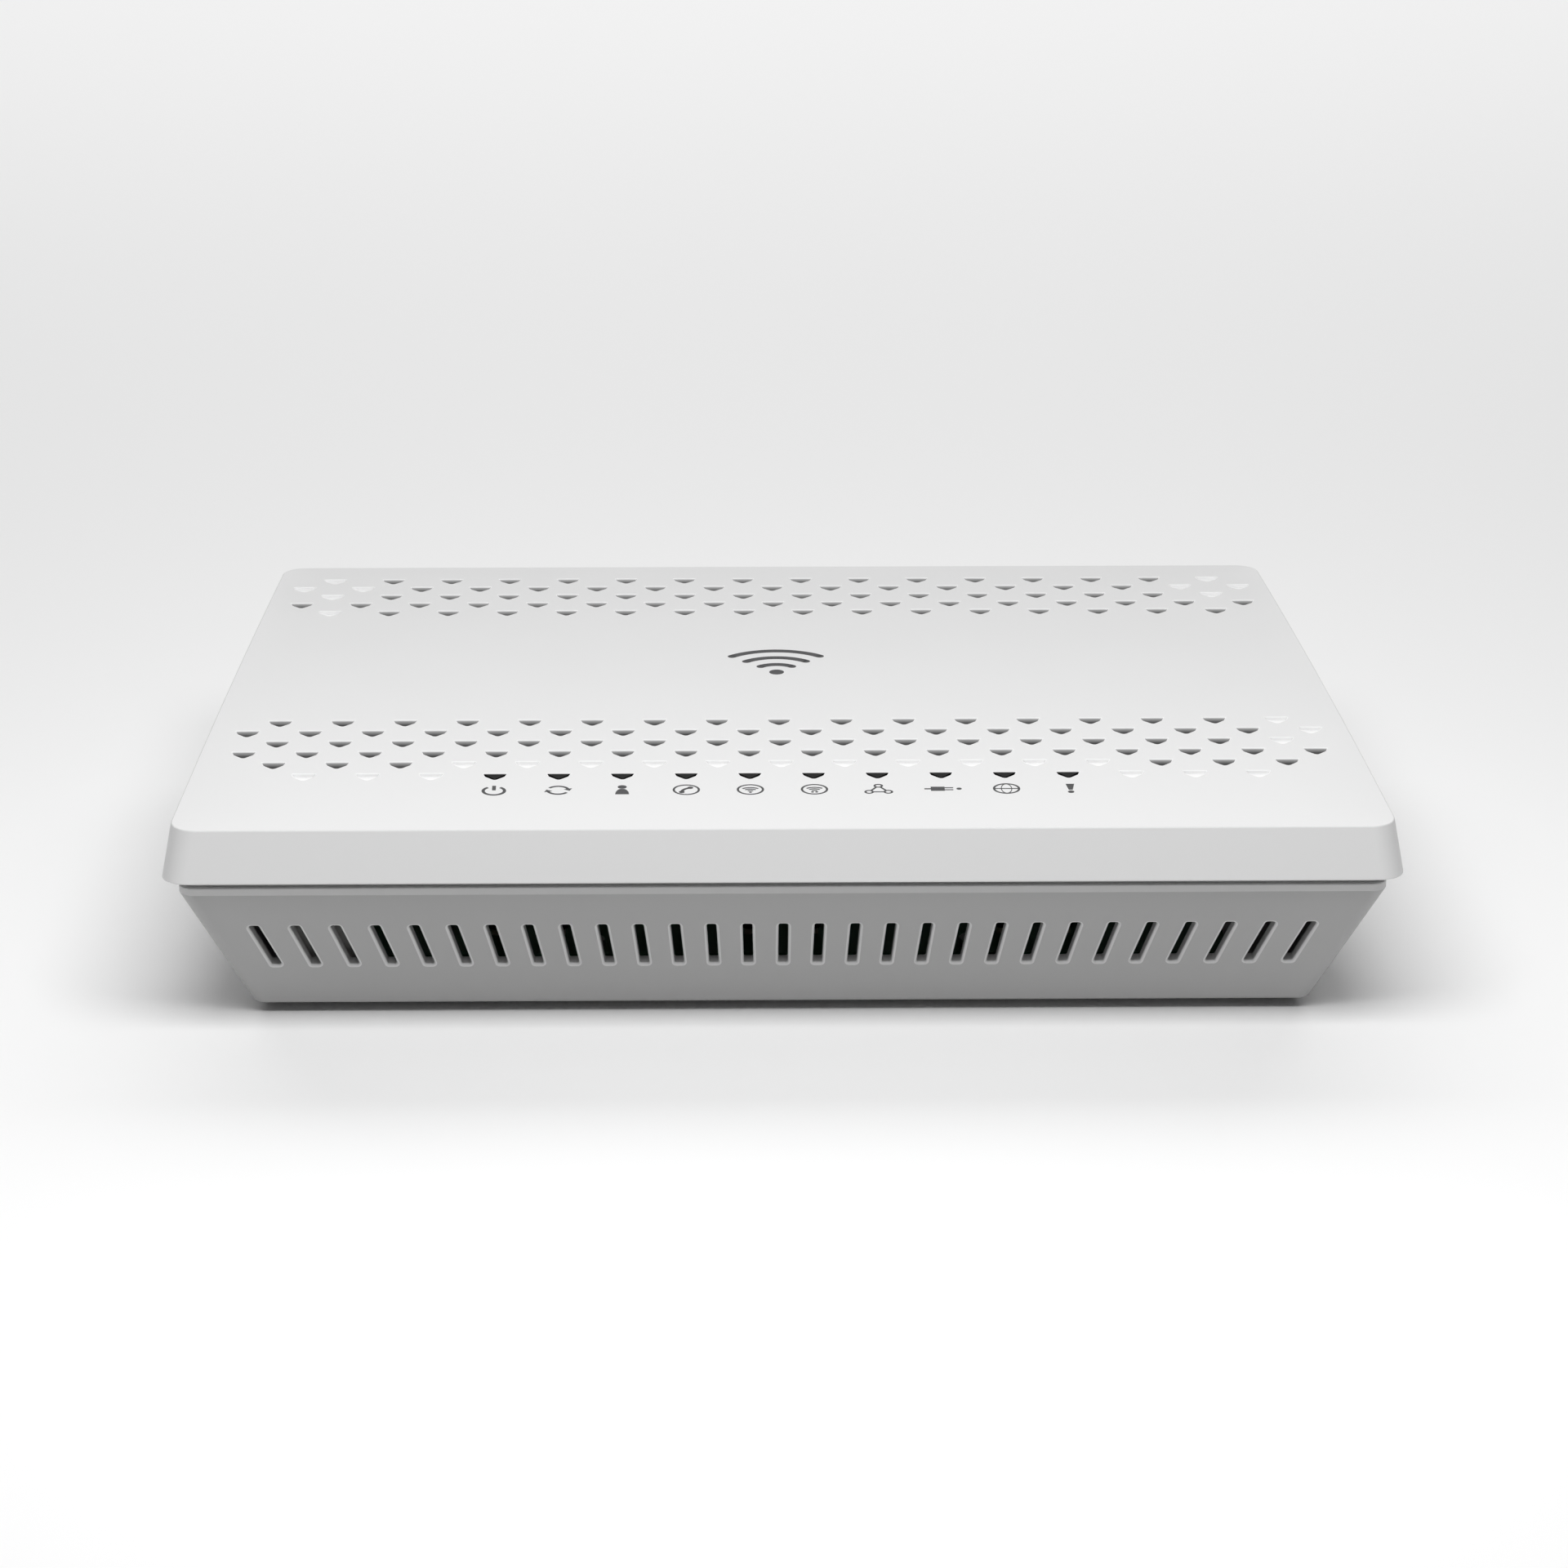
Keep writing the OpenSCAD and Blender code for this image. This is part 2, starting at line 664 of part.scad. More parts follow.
// A ring round the coaxial axis, from y forwards by depth
module coax_ring(y, depth, r_out, r_in) {
    translate([coax_x, y, coax_z]) rotate([90, 0, 0]) difference() {
        cylinder(r = r_out, h = depth, $fn = 96);
        translate([0, 0, -1]) cylinder(r = r_in, h = depth + 2, $fn = 96);
    }
}

module coax_body() color([0.82, 0.82, 0.80]) {
    tip_y = wall_y + coax_reach;
    relief_y = wall_y + washer_t + nut_t + 0.6;
    coax_ring(tip_y, tip_y - relief_y, coax_thread_r, coax_bore_r);
    coax_ring(relief_y, 0.6, coax_thread_r - 0.5, coax_bore_r);
    coax_ring(relief_y - 0.6, relief_y - 0.6 - inner_wall_y, coax_thread_r, coax_bore_r);
    difference() {
        translate([coax_x, inner_wall_y, coax_z]) rotate([90, 0, 0])
            cylinder(r = 6.4, h = coax_flange_t, $fn = 6);
        translate([coax_x, inner_wall_y + 1, coax_z]) rotate([90, 0, 0])
            cylinder(r = coax_bore_r, h = coax_flange_t + 2, $fn = 96);
    }
    coax_ring(inner_wall_y - coax_flange_t, 10, coax_thread_r, coax_bore_r);
    block([9, 9, coax_z - board_top - 4.4], [coax_x, inner_wall_y - 8.5, board_top]);
}

module coax_insulator() color([0.94, 0.94, 0.90])
    coax_ring(wall_y + coax_reach - 0.4, 22, coax_bore_r, 0.7);

module coax_contact() color([0.83, 0.66, 0.25])
    coax_ring(wall_y + coax_reach - 1.2, 20, 0.7, 0.45);

module coax_washer() color([0.76, 0.76, 0.74])
    coax_ring(wall_y + washer_t, washer_t, 6.6, coax_thread_r);

module coax_nut() color([0.82, 0.82, 0.80])
    translate([coax_x, wall_y + washer_t + nut_t, coax_z]) rotate([90, 0, 0]) difference() {
        cylinder(r = 6.35, h = nut_t, $fn = 6);
        translate([0, 0, -1]) cylinder(r = coax_thread_r, h = nut_t + 2, $fn = 96);
    }

// ---------- buttons ----------

power_switch_y = inner_wall_y - 19.85;

module power_switch() color([0.15, 0.15, 0.15]) difference() {
    block([9, 12, 11], [power_x, power_switch_y, board_top]);
    block([3.4, 8, 3.4], [power_x, power_switch_y + 3, power_z - 1.7]);
}

module power_button() color([0.80, 0.80, 0.80]) {
    cap_d = 7;
    block([power_cap, cap_d, power_cap],
        [power_x, wall_y + power_stand - cap_d / 2, power_z - power_cap / 2]);
    block([power_cap + 2.4, 1, power_cap + 2.4],
        [power_x, inner_wall_y - 0.8, power_z - power_cap / 2 - 1.2]);
    translate([power_x - 1.4, power_switch_y + 2, power_z - 1.4])
        cube([2.8, wall_y + power_stand - cap_d - power_switch_y - 2 + eps, 2.8]);
}

pair_switch_y = inner_wall_y - 9.85;

module pair_switch() color([0.16, 0.16, 0.17]) difference() {
    block([7, 4, 9.5], [pair_x, pair_switch_y, board_top]);
    translate([pair_x, pair_switch_y + 3, pair_z]) rotate([90, 0, 0]) cylinder(r = 1.8, h = 4, $fn = 32);
}

module pair_button() color([0.80, 0.80, 0.80]) {
    translate([pair_x, wall_y + 1, pair_z]) rotate([90, 0, 0]) cylinder(r = pair_r, h = 4.2, $fn = 64);
    translate([pair_x, inner_wall_y - 0.3, pair_z])
        rotate([90, 0, 0]) cylinder(r = pair_r + 1, h = 1, $fn = 64);
    translate([pair_x, wall_y - 3.2 + eps, pair_z]) rotate([90, 0, 0])
        cylinder(r = 1.5, h = wall_y - 3.2 - pair_switch_y - 0.1, $fn = 32);
}

reset_switch_y = inner_wall_y - 10.35;

module reset_switch() color([0.16, 0.16, 0.17]) difference() {
    block([6, 4, 8.5], [reset_x, reset_switch_y, board_top]);
    translate([reset_x, reset_switch_y + 3, reset_z]) rotate([90, 0, 0]) cylinder(r = 1.1, h = 4, $fn = 32);
}

module reset_plunger() color([0.90, 0.90, 0.88])
    translate([reset_x, reset_switch_y + 6.2, reset_z]) rotate([90, 0, 0])
        cylinder(r = reset_r, h = 5.8, $fn = 32);

// ---------- aerials ----------

// One entry per aerial: side, distance from the centre plane, middle y, length
aerials = [[1, 94, -20, 40], [-1, 93, 15, 22], [1, 93, 15, 22]];
front_aerial = [-85, front_y + 15.95, 8.5];
front_aerial_size = [14, 0.8, 15];
aerial_t = 0.8;
aerial_z = 14;
aerial_h = 10;

module aerial_boards() color([0.78, 0.78, 0.76]) {
    for (a = aerials)
        block([aerial_t, a[3], aerial_h], [a[0] * (a[1] + 0.6), a[2], aerial_z]);
    block(front_aerial_size, front_aerial);
}

function unit(v) = v / norm(v);
function tangent(path, i) = unit(path[min(i + 1, len(path) - 1)] - path[max(i - 1, 0)]);
function side_of(t) = unit(cross(t, abs(t[2]) > 0.9 ? [1, 0, 0] : [0, 0, 1]));
function ring(path, i, r, n) = let (t = tangent(path, i), s = side_of(t), u = cross(s, t))
    [for (k = [0 : n - 1]) path[i] + r * (cos(360 * k / n) * s + sin(360 * k / n) * u)];
// A point on the Catmull-Rom curve between p1 and p2
function spline(p0, p1, p2, p3, t) = 0.5 * (2 * p1 + (p2 - p0) * t + (2 * p0 - 5 * p1 + 4 * p2 - p3) * t * t
    + (3 * p1 - p0 - 3 * p2 + p3) * t * t * t);
function smooth(p, per) = [for (i = [0 : len(p) - 2], k = [0 : per - 1])
    spline(p[max(i - 1, 0)], p[i], p[i + 1], p[min(i + 2, len(p) - 1)], k / per), p[len(p) - 1]];

module lead(points, r = 0.6, n = 8) {
    path = smooth(points, 4);
    last = len(path) - 1;
    rings = [for (i = [0 : last]) each ring(path, i, r, n)];
    walls = [for (i = [0 : last - 1], k = [0 : n - 1])
        let (a = i * n + k, b = i * n + (k + 1) % n) each [[a, b, b + n], [a, b + n, a + n]]];
    ends = [[for (k = [0 : n - 1]) n - 1 - k], [for (k = [0 : n - 1]) last * n + k]];
    polyhedron(rings, concat(walls, ends));
}

lead_colour = [0.08, 0.08, 0.08];

module aerial_lead_front_left() color(lead_colour)
    lead([[-82, front_y + 17, 14], [-81.5, -61, 15.5], [-81, -54, 17],
        [-78, -46, 17], [-74, -39, 16.3], [-70, -36, 15.65]]);
module aerial_lead_front_right() color(lead_colour)
    lead([[93.55, -30, 17], [90, -33, 17.5], [86, -38, 18],
        [82, -40, 17.5], [78, -38, 16.2], [74, -36, 15.65]]);
module aerial_lead_rear_left() color(lead_colour)
    lead([[-92.55, 12, 17], [-88, 4, 18], [-84, -6, 18.5],
        [-76, -18, 18], [-66, -28, 16.4], [-62, -31, 15.65]]);
module aerial_lead_rear_right() color(lead_colour)
    lead([[92.55, 12, 17], [88, 4, 18], [84, -6, 18.5],
        [78, -18, 18], [70, -28, 16.4], [66, -31, 15.65]]);

// ---------- fasteners, feet, label ----------

module rubber_feet() color([0.75, 0.75, 0.74]) both_sides()
    for (p = foot_places)
        translate([p[0], p[1], 0]) {
            translate([0, 0, 0.6]) cylinder(r = foot_r, h = foot_h + foot_sink - 0.6, $fn = 48);
            cylinder(r1 = foot_r - 0.6, r2 = foot_r, h = 0.6, $fn = 48);
        }

module case_screw(at) {
    translate([at[0], at[1], head_seat_z - 2]) difference() {
        cylinder(r = screw_head_r, h = 2, $fn = 40);
        for (turn = [0, 90]) rotate([0, 0, turn]) cube([3.4, 0.7, 2.4], center = true);
    }
    translate([at[0], at[1], head_seat_z - eps])
        cylinder(r = screw_r, h = screw_tip_z - head_seat_z, $fn = 40);
}

module case_screws() color([0.62, 0.62, 0.62]) both_sides() {
    case_screw(boss_front);
    case_screw(boss_rear);
}

module board_screws() color([0.66, 0.66, 0.66])
    for (p = board_screw_places) translate([p[0], p[1], 0]) {
        translate([0, 0, foot_h + 2]) cylinder(r = 1, h = board_top - foot_h - 2 + eps, $fn = 32);
        translate([0, 0, board_top]) difference() {
            cylinder(r = 2.5, h = 1.6, $fn = 40);
            for (turn = [0, 90]) rotate([0, 0, turn])
                translate([0, 0, 1.6]) cube([3, 0.6, 1.4], center = true);
        }
    }

module rating_label() color([0.90, 0.90, 0.90])
    block([44, 26, 0.15], [0, 50, foot_h - 0.15]);

top_cover();
base_tub();
light_pipe();
main_board();
led_row();
soc_chip();
thermal_pad();
heat_sink();
memory_chips();
flash_chip();
line_chips();
crystal_can();
tuner_fence();
tuner_cover();
wifi_fences();
wifi_covers();
lan_transformers();
capacitors();
inductors();
lan_jack_shield();
lan_jack_body();
lan_contacts();
phone_jack_body();
phone_contacts();
usb_shell();
usb_tongue();
usb_contacts();
dc_jack_body();
dc_jack_pin();
coax_body();
coax_insulator();
coax_contact();
coax_washer();
coax_nut();
power_switch();
power_button();
pair_switch();
pair_button();
reset_switch();
reset_plunger();
aerial_boards();
aerial_lead_front_left();
aerial_lead_front_right();
aerial_lead_rear_left();
aerial_lead_rear_right();
rubber_feet();
case_screws();
board_screws();
rating_label();
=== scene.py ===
"""Looks of the cable gateway: finely rounded cover and tub, printed marks, materials, light and camera."""

from math import cos, hypot, pi, radians, sin, sqrt, tan

import bpy
from mathutils import Euler, Matrix, Vector
from mathutils.geometry import delaunay_2d_cdt


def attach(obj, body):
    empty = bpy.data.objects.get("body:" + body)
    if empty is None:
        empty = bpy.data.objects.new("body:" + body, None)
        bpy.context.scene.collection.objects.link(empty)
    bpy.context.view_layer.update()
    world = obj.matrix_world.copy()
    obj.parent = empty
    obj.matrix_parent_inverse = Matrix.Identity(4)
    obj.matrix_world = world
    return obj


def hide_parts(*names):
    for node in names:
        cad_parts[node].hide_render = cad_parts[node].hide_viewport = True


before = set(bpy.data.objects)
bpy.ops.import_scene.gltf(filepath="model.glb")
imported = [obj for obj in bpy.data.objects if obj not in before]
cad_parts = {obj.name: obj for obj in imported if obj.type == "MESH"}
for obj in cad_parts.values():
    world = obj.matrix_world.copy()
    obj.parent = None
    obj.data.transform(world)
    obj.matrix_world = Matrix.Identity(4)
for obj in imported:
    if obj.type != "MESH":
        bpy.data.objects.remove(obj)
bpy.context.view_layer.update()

MM = 0.001
ROOT = "gateway"

# Case sizes in millimetres, as in the CAD
CASE_W = 231.0
CASE_D = 158.0
TAPER = radians(4.75)
SKIRT_H = 10.1
FLARE = 1.7 / SKIRT_H
CROWN_H = 1.6
WALL_H = 26.3
LEAN = radians(23.5)
WALL_T = 2.4
CEILING_T = 2.2
FOOT_H = 2.0
LIP_H = 1.5
REVEAL = 1.7
LIP_INSET = 2.9
REAR_INSET = 3.5
COAX_REACH = 11.0

FRONT_Y = -(CASE_D - REAR_INSET + COAX_REACH) / 2
REAR_Y = FRONT_Y + CASE_D
MID_Y = (FRONT_Y + REAR_Y) / 2
WALL_Y = REAR_Y - REAR_INSET
LIP_Z = FOOT_H + WALL_H
TUB_TOP = LIP_Z + LIP_H
RIM_Z = TUB_TOP + REVEAL
TOP_Z = RIM_Z + SKIRT_H + CROWN_H
CROWN_CHORD = CASE_D - 2 * FLARE * SKIRT_H
CROWN_R = (CROWN_CHORD**2 / 4 + CROWN_H**2) / (2 * CROWN_H)
BOARD_TOP = 10.6

# Ring on the tub's lip that enters the cover: distances in from the lip's face, and its rise above the rim
LIP_BEVEL = 0.3
RING_OUT = 0.9
RING_IN = 2.1
RING_RISE = 2.0

# Screw bosses: their places on one side, and the wells that hold the screw heads
BOSSES = ((90.0, FRONT_Y + 27.25), (85.5, REAR_Y - 37.75))
BOSS_R = 4.2
BOSS_TOP = 18.0
WELL_R = 3.05
WELL_DEPTH = 10.0

# Vents
PITCH = 12.0
ROW = 5.6
REAR_BAND_Y = REAR_Y - FLARE * SKIRT_H - 10.4
FRONT_BAND_Y = REAR_BAND_Y - 16 * ROW
LED_Y = FRONT_BAND_Y - 5 * ROW - 0.4
LED_COUNT = 10
BLIND_DEPTH = 0.7
ICON_Y = LED_Y - 7.2
MARK_Y = REAR_BAND_Y - 54

# Rounding of edges, and how finely it is drawn
COVER_CORNER = 4.6
TUB_CORNER = 3.0
TUB_INNER_CORNER = 0.8
COVER_EDGE = 0.35
RIM_EDGE = 0.3
TUB_EDGE = 1.6
ARC_STEPS = 10
STRAIGHT_STEPS = (40, 50, 40, 58)  # right side, rear, left side, front
EDGE_STEPS = 5
HOLE_STEPS = 3
VENT_EDGE = 0.25
SLOT_EDGE = 0.5
OPENING_EDGE = 0.2


# ---------- case geometry ----------


def half_width(y):
    """Half the rim width at a place along y."""
    return CASE_W / 2 - (y - FRONT_Y) * tan(TAPER)


def crown_z(y):
    """Height of the crowned top at a place along y."""
    return TOP_Z - CROWN_R + sqrt(CROWN_R**2 - (y - MID_Y) ** 2)


def crown_normal(y):
    """Upward direction of the crowned top at a place along y."""
    return Vector((0, y - MID_Y, sqrt(CROWN_R**2 - (y - MID_Y) ** 2))).normalized()


def outline(inset, radius, rear=None):
    """Points and outward directions round the case, drawn in from the rim."""
    rear = inset if rear is None else rear
    y_front = FRONT_Y + inset + radius
    y_rear = REAR_Y - rear - radius
    x_front = half_width(y_front) - (inset + radius) / cos(TAPER)
    x_rear = half_width(y_rear) - (inset + radius) / cos(TAPER)
    corners = (
        (Vector((x_front, y_front)), -pi / 2, TAPER),
        (Vector((x_rear, y_rear)), TAPER, pi / 2),
        (Vector((-x_rear, y_rear)), pi / 2, pi - TAPER),
        (Vector((-x_front, y_front)), pi - TAPER, 3 * pi / 2),
    )
    arcs = []
    for centre, start, end in corners:
        turns = [start + (end - start) * k / ARC_STEPS for k in range(ARC_STEPS + 1)]
        arcs.append([(centre + radius * Vector((cos(a), sin(a))), Vector((cos(a), sin(a)))) for a in turns])
    points = []
    for i, steps in enumerate(STRAIGHT_STEPS):
        points += arcs[i]
        (start, normal), (end, _) = arcs[i][-1], arcs[(i + 1) % 4][0]
        points += [(start.lerp(end, k / steps), normal) for k in range(1, steps)]
    return points


def run_of(i):
    """Places in the outline along straight run i, both of its ends included."""
    start = sum(STRAIGHT_STEPS[:i]) + i * ARC_STEPS + ARC_STEPS
    total = sum(STRAIGHT_STEPS) + 4 * ARC_STEPS
    return [(start + k) % total for k in range(STRAIGHT_STEPS[i] + 1)]


REAR_RUN = run_of(1)
FRONT_RUN = run_of(3)


def rounded(corners, radii, steps=4):
    """Points round a convex outline with rounded corners, as (corner centre, outward direction, radius)."""
    points = []
    for i, (corner, radius) in enumerate(zip(corners, radii)):
        a = (corners[i - 1] - corner).normalized()
        b = (corners[(i + 1) % len(corners)] - corner).normalized()
        half = a.angle(b) / 2
        centre = corner + (a + b).normalized() * radius / sin(half)
        start = (corner + a * radius / tan(half) - centre).normalized()
        sweep = pi - 2 * half
        for k in range(steps + 1):
            turn = sweep * k / steps
            x = start.x * cos(turn) - start.y * sin(turn)
            y = start.x * sin(turn) + start.y * cos(turn)
            points.append((centre, Vector((x, y)), radius))
    return points


def circle(centre, radius, steps=40):
    """Outline of a circle, in the form that rounded gives."""
    turns = [2 * pi * k / steps for k in range(steps)]
    return [(Vector(centre), Vector((cos(a), sin(a))), radius) for a in turns]


def box(x, y, w, h, radius=0.5):
    """Outline of a rectangle with its lower edge's middle at x, y."""
    corners = ((x - w / 2, y), (x + w / 2, y), (x + w / 2, y + h), (x - w / 2, y + h))
    return rounded([Vector(c) for c in corners], [radius] * 4)


def keyhole(x, y, radius=4.0, slot=2.0, reach=9.0):
    """A round hole with a narrow slot towards +y."""
    points = []
    for k in range(31):
        turn = radians(120 + 300 * k / 30)
        points.append((Vector((x, y)), Vector((cos(turn), sin(turn))), radius))
    for k in range(13):
        turn = radians(180 * k / 12)
        points.append((Vector((x, y + reach)), Vector((cos(turn), sin(turn))), slot))
    return points


# ---------- mesh building ----------

# Points nearer than this become one in a patch, and smaller triangles along its border are left out
MERGE_GAP = 1e-5
SLIVER_AREA = 1e-3


def inside(point, loop):
    """Whether a flat point lies inside a flat loop."""
    hit = False
    for a, b in zip(loop, loop[1:] + loop[:1]):
        if (a.y > point.y) != (b.y > point.y):
            if point.x < a.x + (point.y - a.y) * (b.x - a.x) / (b.y - a.y):
                hit = not hit
    return hit


class Shell:
    """A mesh whose faces turn to agree with the normals its vertices were given."""

    def __init__(self):
        self.points = []
        self.normals = []
        self.faces = []
        self.slots = []
        self.slot = 0

    def add(self, point, normal):
        """Adds a vertex and gives its number."""
        self.points.append(Vector(point))
        self.normals.append(Vector(normal).normalized())
        return len(self.points) - 1

    def loop(self, pairs):
        """Adds a ring of (point, normal) pairs and gives the numbers of its vertices."""
        return [self.add(point, normal) for point, normal in pairs]

    def face(self, corners):
        """Adds a face, turned to the side that the normals of its corners point to."""
        a, b, c = (self.points[i] for i in corners[:3])
        wanted = sum((self.normals[i] for i in corners), Vector((0, 0, 0)))
        cross = (b - a).cross(c - a)
        if len(corners) == 4:
            cross += (c - a).cross(self.points[corners[3]] - a)
        self.faces.append(corners if cross.dot(wanted) > 0 else corners[::-1])
        self.slots.append(self.slot)

    def bridge(self, low, high, skip=()):
        """Joins two loops of equal length, leaving out the steps that start at a place in skip."""
        count = len(low)
        for k in range(count):
            if k not in skip:
                j = (k + 1) % count
                self.face((low[k], low[j], high[j], high[k]))

    def patch(self, border, holes, flat, extra=()):
        """Fills the space inside the convex border and outside the holes."""
        used = [i for loop in [border] + holes for i in loop] + list(extra)
        owner = {i: n for n, loop in enumerate([border] + holes) for i in loop}
        places = [flat(self.points[i]) for i in used]
        edges = []
        start = 0
        for loop in [border] + holes:
            count = len(loop)
            edges += [(start + k, start + (k + 1) % count) for k in range(count)]
            start += count
        outlines = [[flat(self.points[i]) for i in loop] for loop in holes]
        coords, _, faces, origins, _, _ = delaunay_2d_cdt(places, edges, [], 0, MERGE_GAP)
        for face in faces:
            corners = [used[origins[v][0]] for v in face]
            flats = [coords[v] for v in face]
            area = (flats[1] - flats[0]).cross(flats[2] - flats[0])
            owners = {owner.get(i, -1) for i in corners}
            # Leaves out slivers along the border, and what fills a hole
            if abs(area) < SLIVER_AREA and owners == {0}:
                continue
            if len(owners) == 1 and min(owners) > 0:
                middle = (flats[0] + flats[1] + flats[2]) / 3
                if inside(middle, outlines[min(owners) - 1]):
                    continue
            self.face(tuple(corners))

    def cap(self, loop, normal):
        """Closes a convex loop with a flat fan that has its own normals."""
        rim = self.loop([(self.points[i], normal) for i in loop])
        middle = sum((self.points[i] for i in loop), Vector((0, 0, 0))) / len(loop)
        centre = self.add(middle, normal)
        for k, i in enumerate(rim):
            self.face((i, rim[(k + 1) % len(rim)], centre))

    def build(self, name, materials, replaces=None):
        """Makes the object, which rides on the case and may replace a CAD node."""
        mesh = bpy.data.meshes.new(name)
        mesh.from_pydata([p * MM for p in self.points], [], self.faces)
        mesh.polygons.foreach_set("use_smooth", [True] * len(mesh.polygons))
        mesh.polygons.foreach_set("material_index", self.slots)
        for finish in materials:
            mesh.materials.append(finish)
        mesh.update()
        mesh.normals_split_custom_set_from_vertices([n[:] for n in self.normals])
        obj = bpy.data.objects.new(name, mesh)
        bpy.context.collection.objects.link(obj)
        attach(obj, ROOT)
        if replaces:
            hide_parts(replaces)
        return obj


def round_edge(shell, corners, first, second, radius, steps=EDGE_STEPS):
    """Rings of a rounded edge whose two faces leave each corner along first and second."""
    rings = [[] for _ in range(steps + 1)]
    for corner, a, b in zip(corners, first, second):
        half = a.angle(b) / 2
        centre = corner + (a + b).normalized() * radius / sin(half)
        start = corner + a * radius / tan(half) - centre
        end = corner + b * radius / tan(half) - centre
        for k, ring in enumerate(rings):
            spoke = start.normalized().slerp(end.normalized(), k / steps) * start.length
            ring.append(shell.add(centre + spoke, spoke))
    for low, high in zip(rings, rings[1:]):
        shell.bridge(low, high)
    return rings


def cut(shell, shape, place, normal_at, depth, edge=0.25, closed=False, edge_slot=0, wall_slot=0):
    """Sinks a hole with a rounded mouth; gives its mouth loop and the loop where its wall ends.

    The rounded mouth and the wall below it take the materials edge_slot and wall_slot.
    """
    loops = []
    for k in range(HOLE_STEPS + 1):
        turn = pi / 2 * k / HOLE_STEPS
        reach = edge * (1 - sin(turn))
        sink = edge * (1 - cos(turn))
        pairs = []
        for centre, direction, radius in shape:
            flat = centre + direction * (radius + reach)
            inward = place(flat - direction, sink) - place(flat, sink)
            pairs.append((place(flat, sink), normal_at(flat) * cos(turn) + inward.normalized() * sin(turn)))
        loops.append(shell.loop(pairs))
    end = []
    for centre, direction, radius in shape:
        flat = centre + direction * radius
        inward = place(flat - direction, depth) - place(flat, depth)
        end.append((place(flat, depth), inward))
    loops.append(shell.loop(end))
    shell.slot = edge_slot
    for low, high in zip(loops[:-1], loops[1:-1]):
        shell.bridge(low, high)
    shell.slot = wall_slot
    shell.bridge(loops[-2], loops[-1])
    if closed:
        flat = shape[0][0]
        shell.cap(loops[-1], normal_at(flat))
    shell.slot = 0
    return loops[0], loops[-1]


def turned(shell, loop, normal_at):
    """A second loop at the same places as a first, with other normals, for a sharp edge."""
    return shell.loop([(shell.points[i], normal_at(shell.points[i])) for i in loop])


# ---------- vents ----------

# Corners of a vent about its centre, with the radius of each: flat side to the rear, soft point to the front
VENT_CORNERS = ((-2.2, 1.5), (-1.75, -0.1), (0, -1.9), (1.75, -0.1), (2.2, 1.5))
VENT_RADII = (0.2, 0.9, 0.5, 0.9, 0.2)


def vent(x, y):
    """Outline of a vent."""
    return rounded([Vector((x + dx, y + dy)) for dx, dy in VENT_CORNERS], VENT_RADII, steps=3)


# What a vent is: an opening, a shallow blind recess or the window of an indicator
OPEN, BLIND, WINDOW = "open", "blind", "window"


def row_places(band_y, row, count, first, last):
    """Places of one row of vents, of which the first and the last few are blind."""
    y = band_y - row * ROW
    kinds = [BLIND if i < first or i >= count - last else OPEN for i in range(count)]
    return [((i - (count - 1) / 2) * PITCH, y, kind) for i, kind in enumerate(kinds)]


# Whole rows of each band, from its rear: row, vents, blind ones at the left, blind ones at the right
REAR_ROWS = ((0, 16, 1, 1), (1, 17, 2, 2), (2, 16, 1, 1), (3, 17, 0, 0), (4, 16, 1, 0))
FRONT_ROWS = ((0, 17, 0, 1), (1, 18, 0, 1), (2, 17, 0, 1), (3, 18, 0, 0))


def vent_places():
    """Places and kinds of all vents.

    The row behind the windows is blind along them, and the windows' own row is blind beside them.
    """
    places = []
    for band_y, rows in ((REAR_BAND_Y, REAR_ROWS), (FRONT_BAND_Y, FRONT_ROWS)):
        for row in rows:
            places += row_places(band_y, *row)
    for x, y, _ in row_places(FRONT_BAND_Y, 4, 17, 0, 0):
        places.append((x, y, BLIND if abs(x) < (LED_COUNT + 1) / 2 * PITCH else OPEN))
    for x, y, _ in row_places(LED_Y, 0, 16, 0, 0):
        places.append((x, y, BLIND if abs(x) > LED_COUNT / 2 * PITCH else WINDOW))
    return places


# ---------- cover ----------

# Materials of the cover, by their place in its list: the walls of each kind of vent, and all mouths
# The walls of open vents (slot 1) carry painted shade.
VENT_WALL_SLOTS = {OPEN: 1, WINDOW: 2, BLIND: 3}
VENT_MOUTH_SLOT = 4

# Points spread over the crown between the rows of vents: from the edges in, apart, and clear of a row
GRID_MARGIN = 9.0
GRID_STEP = 2.8
GRID_GAP = 2.6


def on_crown(flat, depth):
    """A place at a depth below the crown."""
    return Vector((flat.x, flat.y, crown_z(flat.y) - depth))


def crown_facing(flat):
    return crown_normal(flat.y)


def flatten_top(point):
    return Vector((point.x, point.y))


def cover_corners(rim):
    """Where the skirt above each rim place would meet the crown, and the ways the two faces leave it."""
    heads = outline(FLARE * SKIRT_H, COVER_CORNER)
    corners, down, inward = [], [], []
    for (foot, normal), (head, _) in zip(rim, heads):
        slant = (head - foot) / SKIRT_H
        z = RIM_Z + SKIRT_H
        # A few rounds settle the height at which the leaning skirt meets the curved crown
        for _ in range(6):
            z = crown_z(foot.y + slant.y * (z - RIM_Z))
        place = foot + slant * (z - RIM_Z)
        corners.append(Vector((place.x, place.y, z)))
        lean = -slant.dot(normal)
        down.append(Vector((normal.x * lean, normal.y * lean, -1)).normalized())
        step = place - normal
        inward.append(Vector((-normal.x, -normal.y, crown_z(step.y) - crown_z(place.y))).normalized())
    return corners, down, inward


